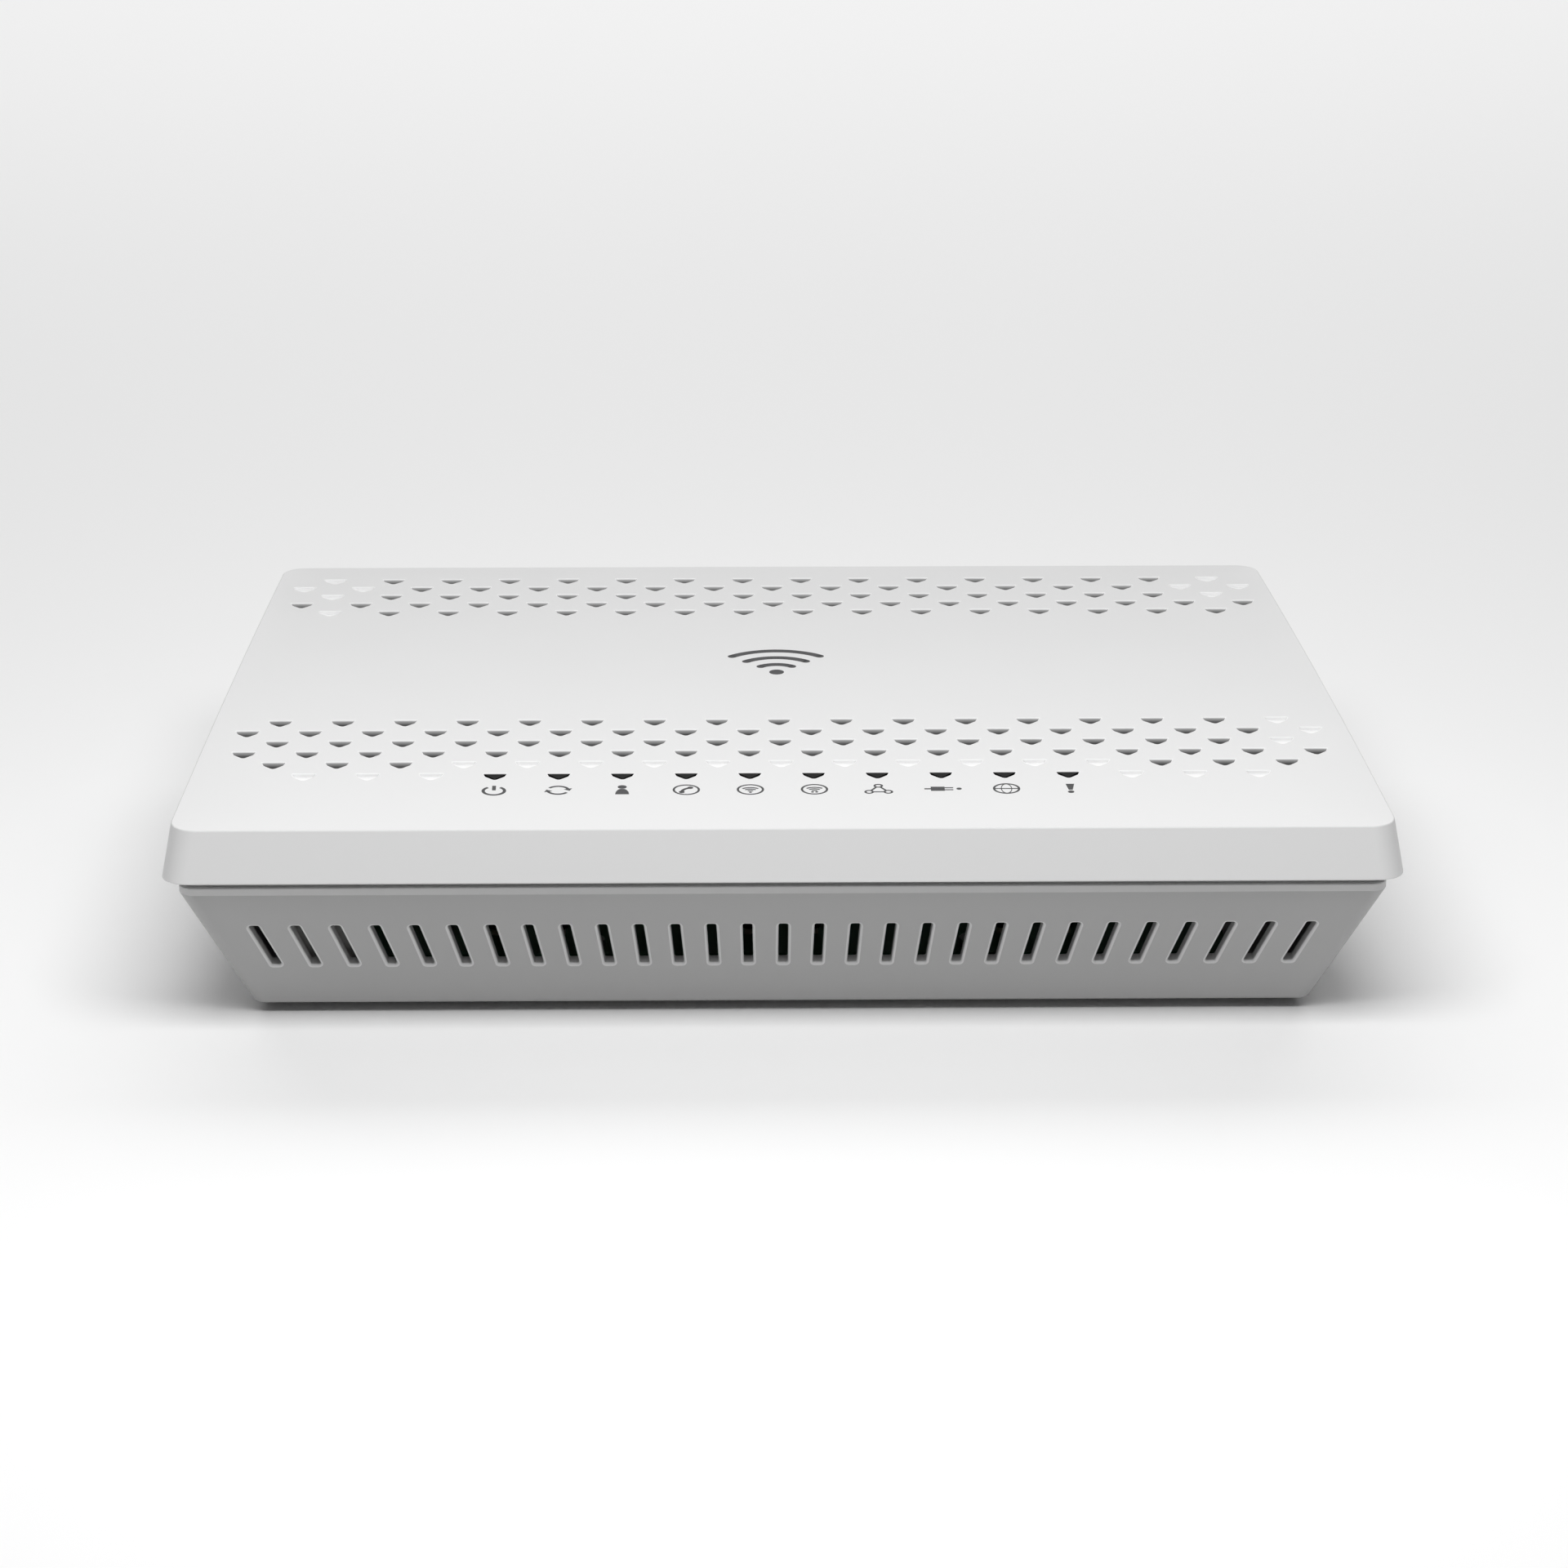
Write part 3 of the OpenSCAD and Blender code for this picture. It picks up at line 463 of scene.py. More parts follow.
def build_cover(materials):
    """The cover with its vents and windows, in place of the CAD one."""
    shell = Shell()
    rim = outline(0, COVER_CORNER)
    corners, down, inward = cover_corners(rim)
    top = round_edge(shell, corners, down, inward, COVER_EDGE)

    # Skirt and rim
    foot = [Vector((p.x, p.y, RIM_Z)) for p, _ in rim]
    in_flat = [Vector((-n.x, -n.y, 0)) for _, n in rim]
    bottom = round_edge(shell, foot, in_flat, [-d for d in down], RIM_EDGE)
    shell.bridge(bottom[-1], top[0])
    under = [(Vector((p.x - n.x * WALL_T, p.y - n.y * WALL_T, RIM_Z)), (0, 0, -1)) for p, n in rim]
    inner_edge = shell.loop(under)
    shell.bridge(inner_edge, bottom[0])

    # Inner wall up to the ceiling
    wall_foot = shell.loop([(point, (-n.x, -n.y, 0)) for (point, _), (_, n) in zip(under, rim)])
    wall_head = []
    for corner, (_, n) in zip(corners, rim):
        place = Vector((corner.x - n.x * WALL_T, corner.y - n.y * WALL_T))
        wall_head.append((on_crown(place, CEILING_T), (-n.x, -n.y, 0)))
    wall_head = shell.loop(wall_head)
    shell.bridge(wall_foot, wall_head)

    # Vents, indicator windows and the two skins that they join
    mouths, ends = [], []
    for x, y, kind in vent_places():
        blind = kind == BLIND
        depth = BLIND_DEPTH if blind else CEILING_T
        # The rounded mouth of each vent takes the painted highlight.
        slots = (VENT_MOUTH_SLOT, VENT_WALL_SLOTS[kind])
        mouth, end = cut(shell, vent(x, y), on_crown, crown_facing, depth, VENT_EDGE, blind, *slots)
        mouths.append(mouth)
        if not blind:
            ends.append(turned(shell, end, lambda p: -crown_normal(p.y)))
    grid = []
    vent_rows = {y for _, y, _ in vent_places()}
    y = FRONT_Y + GRID_MARGIN
    while y < REAR_Y - GRID_MARGIN:
        reach = int((half_width(y) - GRID_MARGIN) / PITCH)
        if min(abs(y - row_y) for row_y in vent_rows) > GRID_GAP:
            for i in range(-reach, reach + 1):
                place = Vector((i * PITCH, y))
                grid.append(shell.add(on_crown(place, 0), crown_normal(y)))
        y += GRID_STEP
    shell.patch(top[-1], mouths, flatten_top, grid)
    ceiling = turned(shell, wall_head, lambda p: -crown_normal(p.y))
    shell.patch(ceiling, ends, flatten_top)
    return shell.build("cover_skin", materials, "top_cover")


# ---------- tub ----------

# Materials of the tub, by their place in its list
TUB_LIP_SLOT = 1
SLOT_MOUTH_SLOT = 2


def on_front(flat, depth):
    """A place on the leaning front wall, from x and the distance up from the lip."""
    up = flat.y
    return Vector(
        (
            flat.x,
            FRONT_Y + LIP_INSET - up * sin(LEAN) + depth * cos(LEAN),
            LIP_Z + up * cos(LEAN) + depth * sin(LEAN),
        )
    )


def front_facing(_):
    return Vector((0, -cos(LEAN), -sin(LEAN)))


def on_rear(flat, depth):
    """A place at a depth behind the rear face, from x and z."""
    return Vector((flat.x, WALL_Y - depth, flat.y))


def rear_facing(_):
    return Vector((0, 1, 0))


def on_floor(flat, depth):
    """A place at a depth above the underside of the tub's floor."""
    return Vector((flat.x, flat.y, FOOT_H + depth))


def floor_facing(_):
    return Vector((0, 0, -1))


def flatten_wall(point):
    return Vector((point.x, point.z))


# Slots of the front wall, spread like a fan that opens towards the lip: measures along the leaning wall
SLOT_COUNT = 29
SLOT_STEP = radians(1.521)
SLOT_FAN_R = 248.0
SLOT_LEN = 10.3
SLOT_W = 1.8
SLOT_CORNER = 0.42
SLOT_DROP = 13.3


def front_slots():
    """Outlines of the slots, as x and the distance up from the lip."""
    shapes = []
    for i in range(SLOT_COUNT):
        lean = (i - (SLOT_COUNT - 1) / 2) * SLOT_STEP
        low = (SLOT_FAN_R - SLOT_LEN / 2) * tan(lean)
        high = (SLOT_FAN_R + SLOT_LEN / 2) * tan(lean)
        side = SLOT_W / 2 / cos(lean)
        y_low = -SLOT_DROP - SLOT_LEN / 2
        y_high = -SLOT_DROP + SLOT_LEN / 2
        corners = ((low - side, y_low), (low + side, y_low), (high + side, y_high), (high - side, y_high))
        shapes.append(rounded([Vector(c) for c in corners], [SLOT_CORNER] * 4))
    return shapes


# Rectangular openings of the rear wall: middle x, lower edge above the board, width, height
REAR_BOXES = (
    (-8.5, -0.2, 58.4, 13.6),  # LAN sockets
    (-54.0, -0.2, 25.4, 12.8),  # phone sockets
    (31.5, 0.2, 14.4, 7.0),  # USB socket
    (62.5, -0.2, 9.4, 11.4),  # power inlet
    (76.0, 2.7, 8.6, 8.6),  # power button
)
# Round openings of the rear wall: x, height above the board, radius, steps
REAR_ROUNDS = (
    (51.5, 6.0, 3.3, 40),  # pairing button
    (43.5, 6.0, 1.2, 24),  # reset pinhole
    (-75.0, 7.0, 5.06, 40),  # coaxial connector
)


def rear_openings():
    """Outlines of the rear wall's openings, as x and z."""
    boxes = [box(x, BOARD_TOP + lift, width, height) for x, lift, width, height in REAR_BOXES]
    rounds = [circle((x, BOARD_TOP + lift), radius, steps) for x, lift, radius, steps in REAR_ROUNDS]
    return boxes + rounds


# Openings of the floor
KEYHOLE_X = 50.0
KEYHOLE_Y = 4.0
FLOOR_VENT_W = 2.2
FLOOR_VENT_LEN = 11.0
FLOOR_VENT_PITCH = 7.0
FLOOR_VENT_ROW = 16.0


def floor_openings():
    """Two keyholes, and rows of floor vents that leave room for them in the middle row."""
    shapes = [keyhole(x, KEYHOLE_Y) for x in (-KEYHOLE_X, KEYHOLE_X)]
    for row in range(-2, 3):
        for i in range(-5, 6):
            if row != 0 or abs(i) < 3:
                y = MID_Y + row * FLOOR_VENT_ROW - FLOOR_VENT_LEN / 2
                shapes.append(box(i * FLOOR_VENT_PITCH, y, FLOOR_VENT_W, FLOOR_VENT_LEN, 1.0))
    return shapes


def tub_rings(inset, z_floor, radius):
    """Places round the tub at the lip and where its walls would meet a floor height."""
    spread = (LIP_Z - z_floor) * tan(LEAN)
    rear = REAR_INSET + inset
    head = outline(LIP_INSET + inset, radius, rear)
    foot = outline(LIP_INSET + spread + inset, radius, rear)
    tops = [Vector((p.x, p.y, LIP_Z)) for p, _ in head]
    feet = [Vector((p.x, p.y, z_floor)) for p, _ in foot]
    return tops, feet, [Vector((n.x, n.y, 0)) for _, n in head]


def wall_normal(top, foot, outward):
    """Normal of a wall that runs from foot to top."""
    up = (top - foot).normalized()
    return (outward - up * outward.dot(up)).normalized()


def walls(shell, heads, feet, openings):
    """Joins two loops of a tub wall, with pierced patches along the front and the rear."""
    shell.bridge(heads, feet, skip=set(FRONT_RUN[:-1]) | set(REAR_RUN[:-1]))
    for run, holes in zip((FRONT_RUN, REAR_RUN), openings):
        border = [heads[k] for k in run] + [feet[k] for k in reversed(run)]
        shell.patch(border, holes, flatten_wall)


def join_profile(shell, profile, tops, outward):
    """Sweeps a profile of (distance in, height, whether it faces up) round the lip; gives its last loop."""
    loops = []
    for inset, height, up in profile:
        places = [t - n * inset + Vector((0, 0, height)) for t, n in zip(tops, outward)]
        loops.append(shell.loop([(place, (0, 0, 1) if up else n) for place, n in zip(places, outward)]))
    for low, high in zip(loops, loops[1:]):
        shell.bridge(low, high)
    return loops[-1]


def build_tub(materials):
    """The tub with its slots, openings and screw wells, in place of the CAD one."""
    shell = Shell()
    tops, feet, outward = tub_rings(0, FOOT_H, TUB_CORNER)
    up = [(t - f).normalized() for t, f in zip(tops, feet)]
    inward = [-n for n in outward]
    bottom = round_edge(shell, feet, up, inward, TUB_EDGE)
    wall_normals = [wall_normal(t, f, n) for t, f, n in zip(tops, feet, outward)]
    heads = shell.loop(list(zip(tops, wall_normals)))

    # Lip above the wall, and the ring that enters the cover
    lip = ((0, 0, False), (0, LIP_H - LIP_BEVEL, False), (LIP_BEVEL, LIP_H, True), (RING_OUT, LIP_H, True))
    # The lip takes the lighter material with painted light.
    shell.slot = TUB_LIP_SLOT
    join_profile(shell, lip, tops, outward)
    shell.slot = 0
    crest = LIP_H + REVEAL + RING_RISE
    join_profile(shell, ((RING_OUT, LIP_H, False), (RING_OUT, crest, False)), tops, outward)
    crest_in = join_profile(shell, ((RING_OUT, crest, True), (RING_IN, crest, True)), tops, outward)

    # Holes sunk from the outer face, and the bosses over the screw wells
    slots = []
    front_t = WALL_T * cos(LEAN)
    # The rounded mouths of the slots take the painted highlight.
    for shape in front_slots():
        slot = cut(shell, shape, on_front, front_facing, front_t, SLOT_EDGE, edge_slot=SLOT_MOUTH_SLOT)
        slots.append(slot)
    doors = [cut(shell, shape, on_rear, rear_facing, WALL_T, OPENING_EDGE) for shape in rear_openings()]
    vents = [cut(shell, shape, on_floor, floor_facing, WALL_T, OPENING_EDGE) for shape in floor_openings()]
    wells = []
    spokes = [direction.to_3d() for _, direction, _ in circle((0, 0), 1)]
    for x, y in BOSSES:
        for side in (-1, 1):
            shape = circle((side * x, y), WELL_R)
            well, _ = cut(shell, shape, on_floor, floor_facing, WELL_DEPTH, closed=True)
            wells.append(well)
            foot = Vector((side * x, y, FOOT_H + WALL_T))
            head = Vector((side * x, y, BOSS_TOP))
            boss_foot = shell.loop([(foot + BOSS_R * spoke, spoke) for spoke in spokes])
            boss_head = shell.loop([(head + BOSS_R * spoke, spoke) for spoke in spokes])
            shell.bridge(boss_foot, boss_head)
            shell.cap(boss_head, (0, 0, 1))
    walls(shell, heads, bottom[0], ([m for m, _ in slots], [m for m, _ in doors]))
    shell.patch(bottom[-1], [m for m, _ in vents] + wells, flatten_top)

    # Inner skin
    tops_in, feet_in, _ = tub_rings(WALL_T, FOOT_H + WALL_T, TUB_INNER_CORNER)
    inner_normals = [-n for n in wall_normals]
    heads_in = shell.loop(list(zip(tops_in, inner_normals)))
    feet_loop = shell.loop(list(zip(feet_in, inner_normals)))
    front_ends = [turned(shell, e, lambda p: -front_facing(p)) for _, e in slots]
    rear_ends = [turned(shell, e, lambda p: -rear_facing(p)) for _, e in doors]
    walls(shell, heads_in, feet_loop, (front_ends, rear_ends))
    floor_ring = turned(shell, feet_loop, lambda p: (0, 0, 1))
    shell.patch(floor_ring, [turned(shell, e, lambda p: (0, 0, 1)) for _, e in vents], flatten_top)
    crest_wall = shell.loop([(shell.points[i], -n) for i, n in zip(crest_in, outward)])
    shell.bridge(heads_in, crest_wall)
    return shell.build("tub_skin", materials, "base_tub")


# ---------- materials ----------

# Textures, in cycles per metre, and the height in metres that a grain of full strength stands for
GRAIN_SCALE = 4000
GRAIN_DETAIL = 2
GRAIN_HEIGHT = 0.00005
MOTTLE_SCALE = 60


def material(name, colour, roughness=0.5, metallic=0.0, grain=0.0, coat=0.0, mottle=0.0, specular=0.5):
    """A plain surface with an optional fine moulded grain and a slight unevenness of tone."""
    mat = bpy.data.materials.new(name)
    mat.use_nodes = True
    nodes, links = mat.node_tree.nodes, mat.node_tree.links
    shader = nodes["Principled BSDF"]
    shader.inputs["Base Color"].default_value = (*colour, 1)
    shader.inputs["Roughness"].default_value = roughness
    shader.inputs["Metallic"].default_value = metallic
    shader.inputs["Coat Weight"].default_value = coat
    shader.inputs["Specular IOR Level"].default_value = specular
    where = nodes.new("ShaderNodeTexCoord")
    if grain:
        noise = nodes.new("ShaderNodeTexNoise")
        noise.inputs["Scale"].default_value = GRAIN_SCALE
        noise.inputs["Detail"].default_value = GRAIN_DETAIL
        bump = nodes.new("ShaderNodeBump")
        bump.inputs["Strength"].default_value = grain
        bump.inputs["Distance"].default_value = GRAIN_HEIGHT
        links.new(where.outputs["Object"], noise.inputs["Vector"])
        links.new(noise.outputs["Fac"], bump.inputs["Height"])
        links.new(bump.outputs["Normal"], shader.inputs["Normal"])
    if mottle:
        cloud = nodes.new("ShaderNodeTexNoise")
        cloud.inputs["Scale"].default_value = MOTTLE_SCALE
        ramp = nodes.new("ShaderNodeMapRange")
        ramp.inputs["To Min"].default_value = max(0.0, roughness - mottle)
        ramp.inputs["To Max"].default_value = min(1.0, roughness + mottle)
        links.new(where.outputs["Object"], cloud.inputs["Vector"])
        links.new(cloud.outputs["Fac"], ramp.inputs["Value"])
        links.new(ramp.outputs["Result"], shader.inputs["Roughness"])
    return mat


def add_depth_shade(mat, light, dark, depths):
    """Paints shade onto a surface: darker between two depths below the crown, as shade falls inside a narrow
    vent.
    """
    nodes, links = mat.node_tree.nodes, mat.node_tree.links
    where = nodes.new("ShaderNodeTexCoord")
    split = nodes.new("ShaderNodeSeparateXYZ")
    links.new(where.outputs["Object"], split.inputs["Vector"])
    from_middle = nodes.new("ShaderNodeMath")
    from_middle.operation = "SUBTRACT"
    from_middle.inputs[1].default_value = MID_Y * MM
    links.new(split.outputs["Y"], from_middle.inputs[0])
    squared = nodes.new("ShaderNodeMath")
    squared.operation = "MULTIPLY"
    links.new(from_middle.outputs[0], squared.inputs[0])
    links.new(from_middle.outputs[0], squared.inputs[1])
    crown = nodes.new("ShaderNodeMath")
    crown.operation = "MULTIPLY_ADD"
    crown.inputs[1].default_value = 1 / (2 * CROWN_R * MM)
    links.new(squared.outputs[0], crown.inputs[0])
    links.new(split.outputs["Z"], crown.inputs[2])
    shade = nodes.new("ShaderNodeMapRange")
    shade.inputs["From Min"].default_value = (TOP_Z - depths[0]) * MM
    shade.inputs["From Max"].default_value = (TOP_Z - depths[1]) * MM
    links.new(crown.outputs[0], shade.inputs["Value"])
    mix = nodes.new("ShaderNodeMix")
    mix.data_type = "RGBA"
    mix.inputs["A"].default_value = (light, light, light, 1)
    mix.inputs["B"].default_value = (dark, dark, dark, 1)
    links.new(shade.outputs["Result"], mix.inputs["Factor"])
    links.new(mix.outputs["Result"], nodes["Principled BSDF"].inputs["Base Color"])


COVER = material("cover_plastic", (0.74, 0.74, 0.74), 0.42, grain=0.10, mottle=0.03)
# Tub: a grey that is partly the tub's own tone and partly painted shade, darker than the cover's white.
TUB = material("tub_plastic_and_painted_shade", (0.40, 0.40, 0.40), 0.50, grain=0.12, mottle=0.03)
# Walls of open vents: white at the mouth, with painted shade that darkens them deeper in the vent.
VENT_WALL = material("vent_wall_painted_shade", (0.76, 0.76, 0.76), 0.6)
add_depth_shade(VENT_WALL, 0.76, 0.15, (0.2, 1.0))
# Blind recesses: a lighter copy of the cover's white, painted light that offsets the shade in them.
RECESS = material("blind_recess_painted_light", (0.88, 0.88, 0.88), 0.5)
# Vent mouths: a lighter copy of the cover's white, a painted highlight along their rounded edges.
COVER_LIP = material("vent_lip_painted_highlight", (0.88, 0.88, 0.88), 0.42)
# Tub lip: a lighter copy of the tub's plastic, painted light on the band under the cover's rim.
TUB_LIP = material("tub_lip_painted_light", (0.63, 0.63, 0.63), 0.5, grain=0.12)
# Slot mouths: a lighter copy of the tub's plastic, a painted highlight on the slots' rounded edges.
SLOT_LIP = material("slot_lip_painted_highlight", (0.60, 0.60, 0.60), 0.5)
SMOKED = material("smoked_plastic", (0.003, 0.003, 0.003), 0.6, specular=0.1)
INK = material("print_ink", (0.04, 0.04, 0.042), 0.6)
BOARD = material("board_mask", (0.02, 0.11, 0.05), 0.35, coat=0.3, mottle=0.05)
LED = material("led_lens", (0.45, 0.43, 0.34), 0.3)
CHIP = material("chip_epoxy", (0.02, 0.02, 0.022), 0.6, grain=0.2)
PAD = material("pad_rubber", (0.28, 0.34, 0.42), 0.8)
ALUMINIUM = material("sink_aluminium", (0.72, 0.73, 0.75), 0.38, metallic=1.0, mottle=0.08)
TIN = material("tin_plate", (0.70, 0.70, 0.68), 0.34, metallic=1.0, mottle=0.08)
JACK = material("jack_nylon", (0.018, 0.018, 0.018), 0.5, grain=0.1)
GOLD = material("contact_gold", (0.85, 0.58, 0.20), 0.22, metallic=1.0)
NICKEL = material("nickel_plate", (0.74, 0.73, 0.70), 0.2, metallic=1.0, mottle=0.05)
INSULATOR = material("insulator_white", (0.80, 0.80, 0.76), 0.45)
BUTTON = material("button_plastic", (0.42, 0.42, 0.42), 0.45, grain=0.1)
SLEEVE = material("capacitor_sleeve", (0.03, 0.04, 0.08), 0.3, coat=0.3)
FERRITE = material("ferrite", (0.06, 0.06, 0.065), 0.75, grain=0.3)
AERIAL = material("aerial_mask", (0.72, 0.72, 0.70), 0.45)
LEAD = material("lead_jacket", (0.015, 0.015, 0.015), 0.5)
RUBBER = material("foot_rubber", (0.33, 0.33, 0.33), 0.85, grain=0.3)
STEEL = material("screw_steel", (0.58, 0.58, 0.57), 0.3, metallic=1.0, mottle=0.06)
LABEL = material("label_film", (0.74, 0.74, 0.73), 0.55)

NODE_MATERIALS = {
    LED: ("led_row",),
    SMOKED: ("light_pipe",),
    BOARD: ("main_board",),
    CHIP: ("soc_chip", "memory_chips", "flash_chip", "line_chips", "lan_transformers"),
    PAD: ("thermal_pad",),
    ALUMINIUM: ("heat_sink",),
    TIN: ("crystal_can", "tuner_fence", "tuner_cover", "wifi_fences", "wifi_covers"),
    SLEEVE: ("capacitors",),
    FERRITE: ("inductors",),
    NICKEL: ("lan_jack_shield", "usb_shell", "dc_jack_pin", "coax_body", "coax_washer", "coax_nut"),
    JACK: (
        "lan_jack_body",
        "phone_jack_body",
        "usb_tongue",
        "dc_jack_body",
        "power_switch",
        "pair_switch",
        "reset_switch",
    ),
    GOLD: ("lan_contacts", "phone_contacts", "usb_contacts", "coax_contact"),
    INSULATOR: ("coax_insulator", "reset_plunger"),
    BUTTON: ("power_button", "pair_button"),
    AERIAL: ("aerial_boards",),
    LEAD: (
        "aerial_lead_front_left",
        "aerial_lead_front_right",
        "aerial_lead_rear_left",
        "aerial_lead_rear_right",
    ),
    RUBBER: ("rubber_feet",),
    STEEL: ("case_screws", "board_screws"),
    LABEL: ("rating_label",),
    COVER: ("top_cover",),
    TUB: ("base_tub",),
}
for finish, names in NODE_MATERIALS.items():
    for name in names:
        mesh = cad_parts[name].data
        mesh.materials.clear()
        mesh.materials.append(finish)

build_cover((COVER, VENT_WALL, SMOKED, RECESS, COVER_LIP))
build_tub((TUB, TUB_LIP, SLOT_LIP))


# ---------- printed marks ----------


class Ink:
    """Flat print that follows the crown, drawn from strokes about a centre."""

    # Heights of the print's face and of its hidden underside above the crown
    face_lift = 0.03
    foot_lift = -0.01

    def __init__(self, x, y):
        self.shell = Shell()
        self.x = x
        self.y = y

    def place(self, x, y, lift):
        flat = Vector((self.x + x, self.y + y))
        return on_crown(flat, -lift)

    def fill(self, outline_points):
        """A filled convex shape with a thin edge."""
        up = crown_normal(self.y)
        top = self.shell.loop([(self.place(x, y, self.face_lift), up) for x, y in outline_points])
        low = self.shell.loop([(self.place(x, y, self.foot_lift), up) for x, y in outline_points])
        self.shell.face(tuple(top))
        self.shell.bridge(low, top)

    def arc(self, cx, cy, radius, width, start, end, steps=40, squash=1.0):
        """A stroke along part of a circle, from start to end in degrees."""
        turns = [radians(start + (end - start) * k / steps) for k in range(steps + 1)]
        for a, b in zip(turns, turns[1:]):
            near, far = radius - width / 2, radius + width / 2
            ends = ((near, a), (far, a), (far, b), (near, b))
            self.fill([(cx + r * cos(t) * squash, cy + r * sin(t)) for r, t in ends])

    def bar(self, x0, y0, x1, y1, width):
        """A straight stroke from one place to another."""
        length = hypot(x1 - x0, y1 - y0)
        dx = -(y1 - y0) / length * width / 2
        dy = (x1 - x0) / length * width / 2
        self.fill([(x0 - dx, y0 - dy), (x1 - dx, y1 - dy), (x1 + dx, y1 + dy), (x0 + dx, y0 + dy)])

    def disc(self, cx, cy, radius, steps=28):
        turns = [2 * pi * k / steps for k in range(steps)]
        self.fill([(cx + radius * cos(a), cy + radius * sin(a)) for a in turns])


def power_icon(ink):
    ink.arc(0, -0.2, 2.0, 0.6, -235, 55)
    ink.bar(0, 0.1, 0, 2.3, 0.7)


def sync_icon(ink):
    for turn in (0, 180):
        ink.arc(0, 0, 1.95, 0.55, 20 + turn, 145 + turn)
        tip = radians(20 + turn)
        c, s = cos(tip), sin(tip)
        ink.fill([(1.15 * c, 1.15 * s), (2.75 * c, 2.75 * s), (1.95 * c + 1.0 * s, 1.95 * s - 1.0 * c)])


def person_icon(ink):
    ink.disc(0, 1.5, 0.85)
    half = ((1.3, -2.1), (1.2, -1.0), (0.8, 0.1), (0.4, 0.5))
    ink.fill(half + tuple((-x, y) for x, y in reversed(half)))


def handset_icon(ink):
    ink.arc(0, 0, 2.35, 0.42, 0, 360, steps=60)
    ink.arc(1.1, -1.0, 1.9, 0.6, 105, 185)
    ink.disc(0.75, 1.0, 0.55)
    ink.disc(-0.85, -1.1, 0.55)


def wave_icon(ink, count):
    ink.arc(0, 0, 2.35, 0.42, 0, 360, steps=60)
    for i in range(3):
        ink.arc(0, -1.3, 0.75 + 0.75 * i, 0.4, 50, 130, steps=16)
    for i in range(count):
        ink.disc((i - (count - 1) / 2) * 0.8, -1.35, 0.28)


def network_icon(ink):
    ink.arc(0, 1.6, 0.7, 0.4, 0, 360, steps=28)
    for side in (-1, 1):
        ink.arc(side * 1.8, -1.4, 0.7, 0.4, 0, 360, steps=28)
        ink.bar(side * 0.45, 0.85, side * 1.35, -0.65, 0.4)
    ink.bar(-0.9, -1.4, 0.9, -1.4, 0.4)


def plug_icon(ink):
    ink.fill([(-2.2, -1.0), (0.4, -1.0), (0.4, 1.0), (-2.2, 1.0)])
    ink.bar(0.4, 0.5, 2.0, 0.5, 0.4)
    ink.bar(0.4, -0.5, 2.0, -0.5, 0.4)
    ink.bar(-3.4, 0, -2.2, 0, 0.5)
    ink.disc(3.1, 0, 0.5)


def globe_icon(ink):
    ink.arc(0, 0, 2.35, 0.42, 0, 360, steps=60)
    ink.arc(0, 0, 2.3, 0.36, 0, 360, steps=60, squash=0.42)
    ink.bar(-2.3, 0, 2.3, 0, 0.36)


def alert_icon(ink):
    ink.fill([(-0.38, -0.7), (0.38, -0.7), (0.8, 2.2), (-0.8, 2.2)])
    ink.disc(0, -1.7, 0.6)


def gateway_mark(ink):
    """The plain mark on the crown: three signal arcs with round ends over a dot."""
    base, width = -7.0, 1.7
    ends = (48, 132)
    ink.disc(0, base, 1.45)
    for radius in (4.6, 8.8, 13.0):
        ink.arc(0, base, radius, width, *ends)
        for turn in ends:
            ink.disc(radius * cos(radians(turn)), base + radius * sin(radians(turn)), width / 2)


ICONS = (
    power_icon,
    sync_icon,
    person_icon,
    handset_icon,
    lambda ink: wave_icon(ink, 1),
    lambda ink: wave_icon(ink, 2),
    network_icon,
    plug_icon,
    globe_icon,
    alert_icon,
)


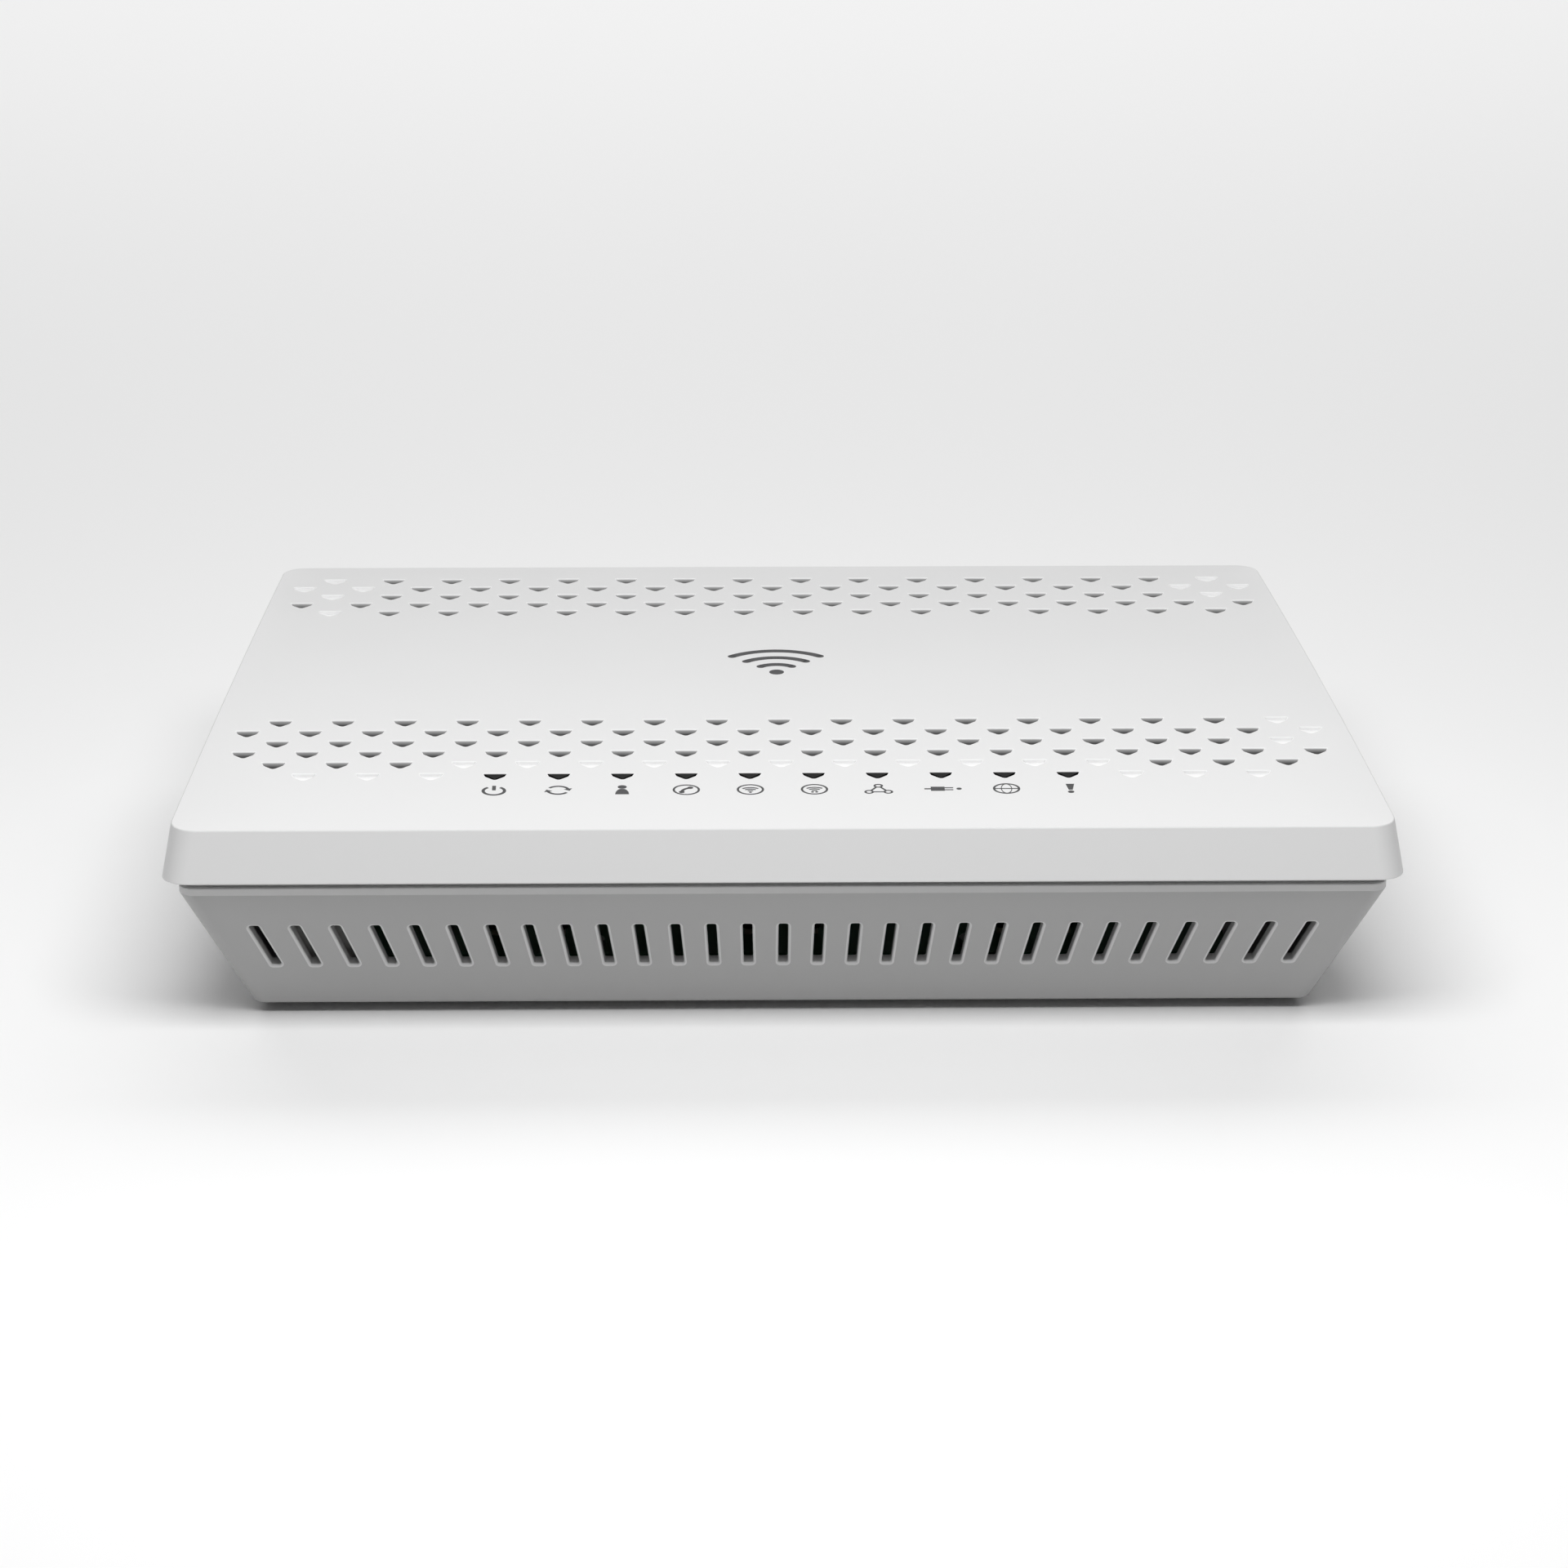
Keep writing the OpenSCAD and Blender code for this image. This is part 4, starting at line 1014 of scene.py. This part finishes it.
def build_marks():
    """A mark in front of each window, from the left, and one on the crown."""
    for i, draw in enumerate(ICONS):
        ink = Ink((i - (LED_COUNT - 1) / 2) * PITCH, ICON_Y)
        draw(ink)
        ink.shell.build(f"icon_{i + 1}", (INK,))
    ink = Ink(0, MARK_Y)
    gateway_mark(ink)
    ink.shell.build("crown_mark", (INK,))


build_marks()


# ---------- stage ----------


def area_light(name, place, aim, size, power):
    """A white rectangular light at a place, turned to what it aims at."""
    data = bpy.data.lights.new(name, "AREA")
    data.shape = "RECTANGLE"
    data.size, data.size_y = size
    data.energy = power
    light = bpy.data.objects.new(name, data)
    light.location = place
    light.rotation_euler = (Vector(aim) - Vector(place)).to_track_quat("-Z", "Y").to_euler()
    bpy.context.collection.objects.link(light)


def build_stage():
    """A pale floor in a dim white room, a light over the front and one that brightens the backdrop."""
    mesh = bpy.data.meshes.new("floor")
    reach = 8
    corners = ((-reach, -reach, 0), (reach, -reach, 0), (reach, reach, 0), (-reach, reach, 0))
    mesh.from_pydata(corners, [], [(0, 1, 2, 3)])
    mesh.materials.append(material("floor_paper", (0.93, 0.93, 0.93), 0.9))
    floor = bpy.data.objects.new("floor", mesh)
    bpy.context.collection.objects.link(floor)

    world = bpy.data.worlds.new("studio")
    bpy.context.scene.world = world
    world.use_nodes = True
    background = world.node_tree.nodes["Background"]
    background.inputs["Color"].default_value = (1, 1, 1, 1)
    background.inputs["Strength"].default_value = 0.13

    area_light("overhead", (0, -0.3, 0.52), (0, -0.05, 0.03), (0.5, 0.25), 2.7)
    area_light("backdrop_wash", (0, 1.0, 0.9), (0, 0.7, 0), (2.2, 0.8), 13)


def build_camera():
    """The view of the photograph: a long lens a little above the case, in front of it."""
    data = bpy.data.cameras.new("photo_view")
    data.sensor_width = 36
    data.lens = 139.5
    camera = bpy.data.objects.new("photo_view", data)
    camera.location = (-0.0201, -1.1288, 0.4372)
    pitch, turn, roll = radians(20.26), radians(-1.095), radians(0.16)
    level = Euler((pi / 2 - pitch, 0, turn)).to_matrix()
    camera.rotation_euler = (level @ Matrix.Rotation(roll, 3, "Z")).to_euler()
    bpy.context.collection.objects.link(camera)
    bpy.context.scene.camera = camera
    bpy.context.scene.view_settings.view_transform = "Standard"


build_stage()
build_camera()
